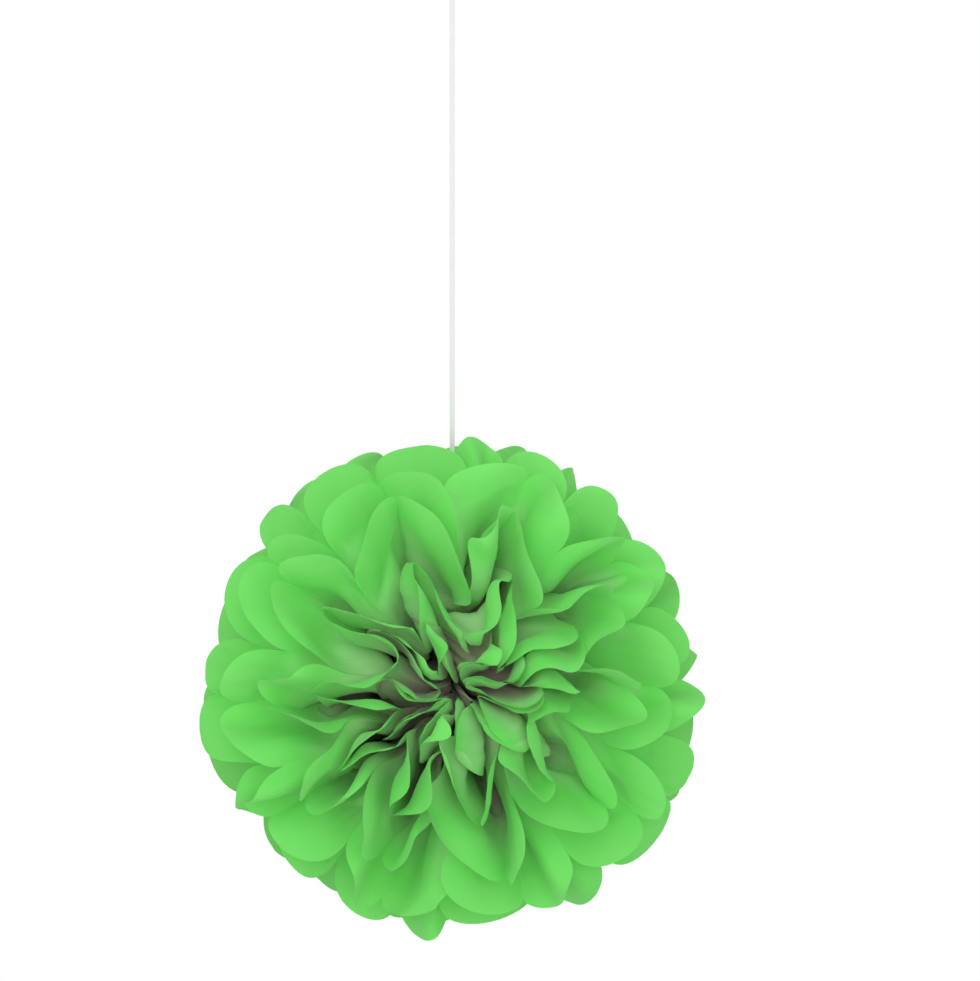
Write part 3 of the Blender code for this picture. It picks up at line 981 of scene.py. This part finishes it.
    def end(self, half: int, u: np.ndarray) -> np.ndarray:
        """How far the round end of a panel reaches.

        Args:
            half: Half of the strip, -1 or 1.
            u: Places across the sheet, in panels.

        Returns:
            Distances from the waist.
        """
        fold = self.folding
        panel = np.minimum(u.astype(int), fold.panels - 1)
        across = 2.0 * (u - panel) - 1.0
        tip = fold.strip / 2 - self.waist(u)[0] - self.run
        crease = tip - fold.rounding + self.blend(self.crease_end[half], u)
        petal = tip + self.petal_end[half][panel]
        return crease + (petal - crease) * np.sqrt(np.maximum(1.0 - across**2, 0.0))

    def half_points(self, half: int) -> tuple[np.ndarray, np.ndarray]:
        """Points of one half of the strip, from the waist to the tips.

        Args:
            half: Half of the strip, -1 or 1.

        Returns:
            Points and their places on the flat paper, both in rows of columns.
        """
        fold = self.folding
        soft = self.fluffing
        steps = (1.0 - np.cos(np.pi * np.arange(self.columns) / self.columns)) / 2
        u = np.concatenate([j + steps for j in range(fold.panels)] + [[float(fold.panels)]])
        share = np.linspace(0.0, 1.0, self.rows + 1)
        out = share[:, None] * self.end(half, u)[None, :]
        u = np.broadcast_to(u, out.shape)
        panel = np.minimum(u.astype(int), fold.panels - 1)
        f = u - panel
        low = self.crease_point(half, panel.astype(float), out)
        high = self.crease_point(half, panel + 1.0, out)
        chord = high - low
        width = np.linalg.norm(chord, axis=-1)
        middle = self.crease_point(half, panel + 0.5, out)
        ahead = self.crease_point(half, panel + 0.5, out + self.probe) - middle
        normal = unit(np.cross(chord, ahead))
        facing = np.sign(np.sum(normal * [0.0, self.side.value, 0.0], axis=-1, keepdims=True))
        normal *= np.where(facing == 0.0, 1.0, facing)
        points = low + chord * f[..., None]
        spare = np.clip(fold.width - width, 0.0, None) * smooth_step(out, 0.0, fold.fold_station)
        room = self.room(out, self.tilt)
        swing = np.minimum(np.sqrt(BOW * width * spare), soft.wave * room)
        wave = np.sin(2.0 * np.pi * f) * np.where(panel % 2 == 0, 1.0, -1.0) * -self.side.value
        bow = 4.0 * f * (1.0 - f)
        near_tip = np.maximum(out - fold.petal_station, 0.0) / (self.reach - fold.petal_station)
        height = swing * (wave + soft.bulge * self.bulge[half][panel] * bow)
        height = height + self.tip_curl[half][panel] * room * near_tip**2 * bow
        points = points + normal * height[..., None]
        aside = self.tip_side[half][panel] * near_tip**2 * bow**0.5
        points = points + unit(chord) * aside[..., None]
        points[0] = self.waist_row(half, u[0])
        flat = np.stack((u, (fold.waist_reach + self.run + out) * half / fold.width, out), axis=-1)
        return points, flat

    def waist_row(self, half: int, u: np.ndarray) -> np.ndarray:
        """Points where the strip leaves the tied waist.

        Args:
            half: Half of the strip, -1 or 1.
            u: Places across the sheet, in panels.

        Returns:
            Points, one in each row.
        """
        x, z = self.waist(u)
        y = self.side.value * self.level - self.folding.waist_fold / 2 * self.zigzag(u)
        return np.stack((half * x, y, z), axis=-1)

    def bend(self, moves: Sequence[Draught | PoleGather | RoundShape]) -> None:
        """Lay out the sheet's points, from tip to tip, and bend them.

        Args:
            moves: Flows that bend all sheets together.
        """
        (left, left_flat), (right, right_flat) = (self.half_points(half) for half in HALVES)
        self.flat = np.concatenate((left_flat[::-1], right_flat))
        points = np.concatenate((left[::-1], right))
        shape = points.shape
        points = points.reshape(-1, 3)
        for move in moves:
            points = move.move(points)
        self.points = points.reshape(shape)

    def plain_mesh(self, name: str, openness: np.ndarray) -> bpy.types.Mesh:
        """Mesh of the sheet before its crumples.

        Args:
            name: Name of the mesh.
            openness: How open each point lies, from 0 to 1.

        Returns:
            The mesh, with its place on the flat paper and its openness as attributes.
        """
        mesh = bpy.data.meshes.new(name)
        corners = grid_faces(self.points.shape[:2], self.side is Side.FRONT)
        mesh.from_pydata(self.points.reshape(-1, 3).tolist(), [], corners.tolist())
        place = mesh.attributes.new("paper_place", "FLOAT_VECTOR", "POINT")
        place.data.foreach_set("vector", self.flat.ravel())
        bare = mesh.attributes.new("openness", "FLOAT", "POINT")
        bare.data.foreach_set("value", openness.ravel())
        return mesh

    def build(self, crumples: "CrumpleRule", openness: np.ndarray) -> bpy.types.Object:
        """Args:
            crumples: Rule that crumples the paper.
            openness: How open each point lies, from 0 to 1.

        Returns:
            The finished sheet.
        """
        fold = self.folding
        soft = self.fluffing
        word = self.side.name.lower()
        name = f"{word}_tissue_{self.index + 1}"
        paper = self.finish.material(name, 10.0 * self.index + self.side.value)
        source = show("plain", self.plain_mesh("plain", openness))
        seed = soft.crumple_side * self.side.value + soft.crumple_step * self.index
        depth = soft.crumple * (1.0 + soft.crumple_gain * self.height**2)
        mesh = crumples.run(source, soft, depth, seed, paper)
        piece = show(name, mesh)
        dress(piece, f"{word}_sheet_{self.index + 1}")
        area = sum(face.area for face in mesh.polygons)
        LOG.info("%s: %.2f of its cut area", piece.name, area / fold.cut_area)
        flat = (fold.strip, fold.width * fold.panels)
        fold.cut_area
        return piece


def grid_faces(shape: tuple[int, int], turned: bool) -> np.ndarray:
    """Corners of the faces between rows of points.

    Args:
        shape: Number of rows and of points in a row.
        turned: Whether the faces look the other way.

    Returns:
        Four corners for each face.
    """
    i, j = np.meshgrid(np.arange(shape[0] - 1), np.arange(shape[1] - 1), indexing="ij")
    first = (i * shape[1] + j).ravel()
    corners = [first, first + 1, first + 1 + shape[1], first + shape[1]]
    return np.stack(corners[::-1] if turned else corners, axis=1)


@dataclass
class Shelter:
    """How much open air the paper sees at each place, which sets where shade is painted between the
    petals.
    """

    looks: int = 24
    reach: float = 0.090
    start: float = 0.002
    row_step: int = 3
    column_step: int = 4
    own_weight: float = 2.0  # of a place, beside its four neighbours
    seed: int = 5

    @staticmethod
    def pick(count: int, step: int) -> np.ndarray:
        """Some of so many rows or columns, with the last one."""
        return np.unique(np.append(np.arange(0, count, step), count - 1))

    def coarse(self, sheet: PaperSheet) -> tuple[np.ndarray, np.ndarray, np.ndarray]:
        """Thin out the points of a sheet.

        Args:
            sheet: The sheet.

        Returns:
            The rows and the columns that are kept, and their points.
        """
        rows = self.pick(sheet.points.shape[0], self.row_step)
        columns = self.pick(sheet.points.shape[1], self.column_step)
        return rows, columns, sheet.points[np.ix_(rows, columns)]

    def close(self, sheets: Sequence[PaperSheet]) -> None:
        """Take in the paper that gives shelter.

        Args:
            sheets: All sheets, bent.
        """
        points = []
        faces = []
        for sheet in sheets:
            coarse = self.coarse(sheet)[2]
            faces += (grid_faces(coarse.shape[:2], False) + len(points)).tolist()
            points += coarse.reshape(-1, 3).tolist()
        self.tree = BVHTree.FromPolygons(points, faces)
        chance = np.random.default_rng(self.seed)
        turn = 2.0 * np.pi * (np.arange(self.looks) * GOLDEN + chance.uniform())
        wide = np.sqrt((np.arange(self.looks) + 0.5) / self.looks)
        ahead = np.sqrt(1.0 - wide**2)
        self.directions = np.stack((wide * np.cos(turn), wide * np.sin(turn), ahead), axis=1)

    def look(self, point: np.ndarray) -> float:
        """Share of open air that a point sees, away from the middle of the ball.

        Args:
            point: The point.

        Returns:
            A share from 0 to 1.
        """
        out = Vector(point).normalized()
        turned = out.to_track_quat("Z", "Y").to_matrix()
        seen = 0.0
        for direction in self.directions:
            ahead = turned @ Vector(direction)
            distance = self.tree.ray_cast(Vector(point) + ahead * self.start, ahead, self.reach)[3]
            seen += 1.0 if distance is None else distance / self.reach
        return seen / self.looks

    def openness(self, sheet: PaperSheet) -> np.ndarray:
        """How open each point of a sheet lies.

        Args:
            sheet: The sheet.

        Returns:
            Shares in rows of columns.
        """
        rows, columns, points = self.coarse(sheet)
        found = np.array([[self.look(point) for point in row] for row in points])
        padded = np.pad(found, 1, mode="edge")
        beside = padded[:-2, 1:-1] + padded[2:, 1:-1] + padded[1:-1, :-2] + padded[1:-1, 2:]
        found = (beside + self.own_weight * found) / (4.0 + self.own_weight)
        wide = np.stack([np.interp(np.arange(columns[-1] + 1), columns, row) for row in found])
        return np.stack([np.interp(np.arange(rows[-1] + 1), rows, line) for line in wide.T], axis=1)


@dataclass
class CrumpleRule:
    """Geometry tree that presses long pleats and small crumples into paper."""

    small_width: float = 0.016
    small_length: float = 0.030
    small_height: float = 0.9  # of the depth
    small_change: float = 0.2  # from tip to tip, a panel's width further on
    pleat_height: float = 2.0
    pleat_change: float = 0.1
    loose_from: float = 0.045  # out from the waist
    calm_from: float = 0.070
    calm_to: float = 0.165
    calm: float = 0.72  # share of the depth that the petals lack

    def __post_init__(self) -> None:
        """Build the tree."""
        numbers = ("Depth", "Pleat Width", "Pleat Length", "Panel Width", "Seed")
        inputs = {**dict.fromkeys(numbers, Input.NUMBER), "Paper": Input.FINISH}
        board, given, self.known = geometry_board("crumpled_paper", inputs)
        self.board = board
        parts = board.split(board.recall("paper_place", "FLOAT_VECTOR"))
        across = parts[0] * given["Panel Width"]
        out = parts[2]
        pleat_out = out / given["Pleat Length"]
        pleat_turn = parts[1] * self.pleat_change
        pleat_place = board.join(across / given["Pleat Width"], pleat_out, pleat_turn)
        pleats = self.noise(pleat_place, 1.0, given["Seed"]) - 0.5
        small_turn = parts[1] * self.small_change
        small_place = board.join(across / self.small_width, out / self.small_length, small_turn)
        small = self.noise(small_place, 2.0, given["Seed"] * 4.0 + 3.3) - 0.5
        loose = out.rise(0.0, self.loose_from)
        calm = 1.0 - out.rise(self.calm_from, self.calm_to) * self.calm
        both = pleats * self.pleat_height + small * self.small_height
        height = both * loose * calm * given["Depth"]
        values = {0: board.node("GeometryNodeInputNormal")[0], "Scale": height}
        offset = board.node("ShaderNodeVectorMath", {"operation": "SCALE"}, values)[0]
        values = {"Geometry": given[0], "Offset": offset}
        moved = board.node("GeometryNodeSetPosition", None, values)[0]
        board.hand_out_shape(moved, given["Paper"])

    def noise(self, place: Signal, detail: float, seed: Signal) -> Signal:
        """Noise with a seed that is an input of the tree."""
        values = {"Vector": place, "W": seed, "Scale": 1.0, "Detail": detail}
        return self.board.node("ShaderNodeTexNoise", {"noise_dimensions": "4D"}, values)[0]

    def run(
        self,
        source: bpy.types.Object,
        fluffing: Fluffing,
        depth: float,
        seed: float,
        paper: bpy.types.Material,
    ) -> bpy.types.Mesh:
        """Crumple one sheet.

        Args:
            source: Plain sheet; it is removed afterwards.
            fluffing: Sizes of the pleats.
            depth: Depth of the crumples.
            seed: Number that moves them.
            paper: Material of the sheet.

        Returns:
            The crumpled mesh.
        """
        values = {
            "Depth": depth,
            "Pleat Width": fluffing.pleat_width,
            "Pleat Length": fluffing.pleat_length,
            "Panel Width": PANEL_WIDTH,
            "Seed": seed,
            "Paper": paper,
        }
        return run_tree(source, self.board, self.known, values)


# Wire and ribbon


@dataclass(frozen=True)
class Section:
    """Cross-section of a band, a knot or a wire."""

    width: float
    height: float
    sides: int
    power: float = 1.0  # 1 for an ellipse, less for a flatter, squarer one


class SweepRule:
    """Geometry tree that sweeps a round or flat section along a path."""

    def __init__(self) -> None:
        """Build the tree."""
        inputs = {
            **dict.fromkeys(("Width", "Height", "Power"), Input.NUMBER),
            "Sides": Input.COUNT,
            "Finish": Input.FINISH,
        }
        board, given, self.known = geometry_board("swept_band", inputs)
        self.board = board
        length = board.node("GeometryNodeSplineParameter")["Length"]
        path = board.store(given[0], "along", "FLOAT", length)
        circle = {"Resolution": given["Sides"], "Radius": 1.0}
        ring = board.node("GeometryNodeCurvePrimitiveCircle", None, circle)[0]
        spot = board.split(board.node("GeometryNodeInputPosition")[0])
        wide = self.squared(spot[0], given["Power"]) * given["Width"] * 0.5
        high = self.squared(spot[1], given["Power"]) * given["Height"] * 0.5
        shaped = {"Geometry": ring, "Position": board.join(wide, high)}
        section = board.node("GeometryNodeSetPosition", None, shaped)[0]
        section = board.store(section, "across", "FLOAT", wide)
        curves = {0: path, 1: section, "Fill Caps": True}
        swept = board.node("GeometryNodeCurveToMesh", None, curves)[0]
        place = board.join(board.recall("along", "FLOAT"), board.recall("across", "FLOAT"))
        swept = board.store(swept, "band_place", "FLOAT_VECTOR", place)
        board.hand_out_shape(swept, given["Finish"])

    @staticmethod
    def squared(value: Signal, power: Signal) -> Signal:
        """Pull a circle's coordinate towards a square's, for a power below 1."""
        return value.math("ABSOLUTE").math("POWER", power) * value.math("SIGN")

    def run(
        self, path: Sequence[Vector], section: Section, finish: bpy.types.Material
    ) -> bpy.types.Mesh:
        """Sweep a section along a path.

        Args:
            path: Points of the path.
            section: The section.
            finish: Material.

        Returns:
            The swept mesh.
        """
        curve = bpy.data.curves.new("path", "CURVE")
        curve.dimensions = "3D"
        curve.twist_mode = "MINIMUM"
        spline = curve.splines.new("POLY")
        spline.points.add(len(path) - 1)
        for target, point in zip(spline.points, path):
            target.co = (*point, 1.0)
        values = {
            "Width": section.width,
            "Height": section.height,
            "Sides": section.sides,
            "Power": section.power,
            "Finish": finish,
        }
        return run_tree(show("path", curve), self.board, self.known, values)


@dataclass
class TieWire:
    """Soft wire bent round the waist, its ends twisted together below."""

    diameter: float = 0.0008
    gap: float = 0.0004
    twist_gap: float = 0.0003
    twist_length: float = 0.012
    twist_turns: int = 2
    twist_steps: int = 24  # in one turn
    corner_steps: int = 10
    sides: int = 14
    knot_room: float = 0.0014
    half_y: float = 0.00425
    half_z: float = 0.006225
    finish: WireFinish = field(default_factory=WireFinish)

    @property
    def clear(self) -> float:
        """From the paper to the middle of the wire."""
        return self.gap + self.diameter / 2

    @property
    def bar(self) -> float:
        """Height of the top of the wire, which the ribbon is knotted on."""
        return self.half_z + self.knot_room + self.diameter / 2

    def strand(self, start: float) -> list[Vector]:
        """One of the two twisted ends.

        Args:
            start: Angle at which it begins.

        Returns:
            Points from the waist downwards.
        """
        count = self.twist_steps * self.twist_turns
        base = -self.half_z - self.clear - self.diameter
        radius = (self.diameter + self.twist_gap) / 2
        points = []
        for k in range(count + 1):
            turn = start + 2 * math.pi * self.twist_turns * k / count
            drop = base - self.twist_length * k / count
            points.append(Vector((radius * math.sin(turn), radius * math.cos(turn), drop)))
        return points

    def corner(self, y: int, z: int) -> list[Vector]:
        """The wire bent round one corner of the waist.

        Args:
            y: -1 or 1, the corner's side along Y.
            z: -1 or 1, the corner's side along Z.

        Returns:
            Points in the order of the ring.
        """
        start = {(-1, -1): 2, (-1, 1): 3, (1, 1): 0, (1, -1): 1}[(y, z)] * math.pi / 2
        lift = self.bar - self.half_z - self.clear if z > 0 else 0.0
        points = []
        for k in range(self.corner_steps + 1):
            turn = start + math.pi / 2 * k / self.corner_steps
            across = y * self.half_y + self.clear * math.sin(turn)
            up = z * self.half_z + lift + self.clear * math.cos(turn)
            points.append(Vector((0.0, across, up)))
        return points

    def build(self, sweep: SweepRule) -> bpy.types.Object:
        """Make the wire.

        Args:
            sweep: Rule that sweeps its section.

        Returns:
            The finished wire.
        """
        path = [*reversed(self.strand(math.pi))]
        for y, z in ((-1, -1), (-1, 1), (1, 1), (1, -1)):
            path += self.corner(y, z)
        path += self.strand(0.0)
        section = Section(self.diameter, self.diameter, self.sides)
        mesh = sweep.run(path, section, self.finish.material("tie_wire"))
        piece = show("twisted_wire", mesh)
        dress(piece, "wire_tie")
        return piece


@dataclass
class HangingRibbon:
    """Flat ribbon, wound and knotted on the wire, that ends in a loop."""

    tie: TieWire
    band: Section = Section(0.004, 0.00030, 20, 0.6)
    rise: float = 0.545
    loop_height: float = 0.042
    loop_width: float = 0.020
    loop_steps: int = 64
    loop_end: float = 0.0004  # beside its start, so that they don't meet
    knot: Section = Section(0.0016, 0.0008, 12, 0.8)
    knot_gap: float = 0.0003
    knot_length: float = 0.0022
    knot_turns: float = 2.5
    knot_steps: int = 60
    loop_knot: Section = Section(0.0026, 0.0007, 12, 0.7)
    loop_knot_size: float = 0.0011
    loop_knot_round: float = 1.6  # less for deeper lobes
    loop_knot_x: float = 0.8
    loop_knot_y: float = 0.7
    loop_knot_height: float = 0.0013
    loop_knot_steps: int = 72
    stations: int = 120
    finish: RibbonFinish = field(default_factory=RibbonFinish)

    @property
    def foot(self) -> float:
        """Height at which the ribbon leaves its lower knot."""
        return self.tie.bar + self.tie.diameter / 2 + self.knot_gap + self.knot.height / 2

    @property
    def top(self) -> float:
        """Height of the upper knot."""
        return self.foot + self.rise

    def path(self) -> list[Vector]:
        """Middle line of the ribbon: up from the wire, then round the loop.

        Returns:
            Its points.
        """
        heights = [self.foot + self.rise * k / self.stations for k in range(self.stations + 1)]
        line = [Vector((0.0, 0.0, height)) for height in heights]
        for k in range(1, self.loop_steps):
            turn = 2 * math.pi * k / self.loop_steps
            across = self.loop_width / 2 * math.sin(turn) * math.sin(turn / 2)
            height = self.top + self.loop_height * (1.0 - math.cos(turn)) / 2
            line.append(Vector((0.0, -across, height)))
        line.append(Vector((0.0, self.loop_end, self.top)))
        return line

    @staticmethod
    def length(line: Sequence[Vector]) -> float:
        """Length of a path."""
        return sum((b - a).length for a, b in zip(line, line[1:]))

    def wire_knot_path(self) -> list[Vector]:
        """Turns of the ribbon round the wire.

        Returns:
            Points of their path.
        """
        radius = self.tie.diameter / 2 + self.knot_gap + self.knot.height / 2
        points = []
        for k in range(self.knot_steps + 1):
            turn = math.pi / 2 + 2 * math.pi * self.knot_turns * k / self.knot_steps
            y = (k / self.knot_steps - 0.5) * self.knot_length
            z = self.tie.bar + radius * math.sin(turn)
            points.append(Vector((radius * math.cos(turn), y, z)))
        return points

    def loop_knot_path(self) -> list[Vector]:
        """Small knot at the foot of the loop.

        Returns:
            Points of its path.
        """
        points = []
        for k in range(self.loop_knot_steps + 1):
            turn = 2 * math.pi * k / self.loop_knot_steps
            radius = self.loop_knot_size * (self.loop_knot_round + math.cos(3 * turn))
            x = radius * math.cos(2 * turn) * self.loop_knot_x
            y = radius * math.sin(2 * turn) * self.loop_knot_y
            z = self.top + self.loop_knot_height * math.sin(3 * turn)
            points.append(Vector((x, y, z)))
        return points

    def build(self, sweep: SweepRule) -> bpy.types.Object:
        """Make the ribbon and its two knots.

        Args:
            sweep: Rule that sweeps their sections.

        Returns:
            The finished ribbon.
        """
        satin = self.finish.material("white_satin")
        line = self.path()
        runs = {
            "ribbon_band": (line, self.band),
            "ribbon_wire_knot": (self.wire_knot_path(), self.knot),
            "ribbon_loop_knot": (self.loop_knot_path(), self.loop_knot),
        }
        pieces = [show(name, sweep.run(*values, satin)) for name, values in runs.items()]
        for piece in pieces:
            dress(piece, "hanging_ribbon")
        band, *knots = pieces
        return band


# Studio


@dataclass(frozen=True)
class SoftLamp:
    """Soft square lamp that points at the ball."""

    name: str
    place: Place
    size: float
    power: float  # in watts

    def light(self) -> None:
        """Add the lamp to the studio."""
        light = bpy.data.lights.new(self.name, "AREA")
        light.shape = "SQUARE"
        light.size = self.size
        light.energy = self.power
        made = show(self.name, light)
        made.location = self.place
        made.rotation_euler = (-Vector(self.place)).to_track_quat("-Z", "Y").to_euler()


@dataclass
class Studio:
    """Camera, soft lamps, pale floor and white surroundings."""

    distance: float = 2.60
    view_width: float = 0.778  # seen at the distance of the ball
    sensor: float = 36.0  # in millimetres
    view_end: float = 50.0
    aim_x: float = 0.0300
    aim_z: float = 0.153
    floor_height: float = -0.62
    floor_radius: float = 2.4
    floor_corners: int = 96
    floor_dark: Colour = (0.82, 0.82, 0.82)
    floor_pale: Colour = (0.88, 0.88, 0.88)
    fade_start: float = 1.1  # from the middle of the ball
    sky: float = 0.66
    lamps: tuple[SoftLamp, ...] = (
        SoftLamp("key_lamp", (-0.7, -3.0, 1.0), 2.2, 32.0),
        SoftLamp("fill_lamp", (0.9, -3.0, -0.2), 2.2, 20.0),
        SoftLamp("top_lamp", (0.2, 0.6, 2.6), 1.6, 5.0),
    )

    def camera(self) -> None:
        """Place the camera at the photograph's viewpoint."""
        lens = bpy.data.cameras.new("camera")
        lens.sensor_width = self.sensor
        lens.lens = self.sensor * self.distance / self.view_width
        lens.clip_end = self.view_end
        made = show("camera", lens)
        made.location = (self.aim_x, -self.distance, self.aim_z)
        made.rotation_euler = (math.pi / 2, 0.0, 0.0)
        bpy.context.scene.camera = made

    def surroundings(self) -> None:
        """White to the camera and in reflections, plain soft light to everything else."""
        world = bpy.data.worlds.new("surroundings")
        world.use_nodes = True
        bpy.context.scene.world = world
        board = NodeBoard(world.node_tree)
        path = board.node("ShaderNodeLightPath")
        seen = path["Is Camera Ray"].math("MAXIMUM", path["Is Glossy Ray"])
        seen = seen.math("MAXIMUM", path["Is Transmission Ray"])
        strength = seen * (1.0 - self.sky) + self.sky
        white = board.node("ShaderNodeBackground", None, {0: WHITE, 1: strength})[0]
        board.node("ShaderNodeOutputWorld", None, {"Surface": white})

    def floor(self) -> None:
        """Lay a pale round floor under the ball, that fades into the white to the camera."""
        mesh = bpy.data.meshes.new("floor")
        turns = [2.0 * math.pi * k / self.floor_corners for k in range(self.floor_corners)]
        across = [self.floor_radius * math.cos(turn) for turn in turns]
        along = [self.floor_radius * math.sin(turn) for turn in turns]
        corners = [(x, y, self.floor_height) for x, y in zip(across, along)]
        mesh.from_pydata(corners, [], [tuple(range(self.floor_corners))])
        made, board = surface_board("pale_floor")
        place = board.object_place()
        grain = board.noise(place, 3.0, detail=3.0, seed=5.0)
        colour = board.mix(grain, self.floor_dark, self.floor_pale)
        surface = board.principled({"Base Color": colour, "Roughness": 0.9})
        white = board.node("ShaderNodeEmission", None, {"Color": WHITE, "Strength": 1.0})[0]
        far = board.vector_math("LENGTH", place)["Value"].rise(self.fade_start, self.floor_radius)
        seen = far * board.node("ShaderNodeLightPath")["Is Camera Ray"]
        board.hand_out_surface(board.mix_shaders(seen, surface, white))
        mesh.materials.append(made)
        show("floor", mesh)

    def build(self) -> None:
        """Set up the whole studio."""
        bpy.context.scene.view_settings.view_transform = "Standard"
        self.camera()
        self.surroundings()
        self.floor()
        for lamp in self.lamps:
            lamp.light()


MOVES = (
    PoleGather(),
    Draught(size=0.200, reach=0.010, seed=24),
    Draught(size=0.060, reach=0.014, seed=12, polar=0.110),
    RoundShape(),
)


def main() -> None:
    """Dress the whole pom pom and set up the studio."""
    logging.basicConfig(level=logging.INFO, format="%(name)s: %(message)s")
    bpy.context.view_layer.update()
    Studio().build()
    sweep = SweepRule()
    tie = TieWire()
    HangingRibbon(tie).build(sweep)
    tie.build(sweep)
    crumples = CrumpleRule()
    sheets = [PaperSheet(side, index) for side in Side for index in range(Folding().sheets)]
    for sheet in sheets:
        sheet.bend(MOVES)
    # The baked openness of each point sets where shade is painted into the tissue's colour.
    shelter = Shelter()
    shelter.close(sheets)
    for sheet in sheets:
        openness = shelter.openness(sheet)
        values = (openness.min(), openness.max(), openness.mean())
        LOG.info("openness from %.2f to %.2f, mean %.2f", *values)
        sheet.build(crumples, openness)


if __name__ == "__main__":
    main()
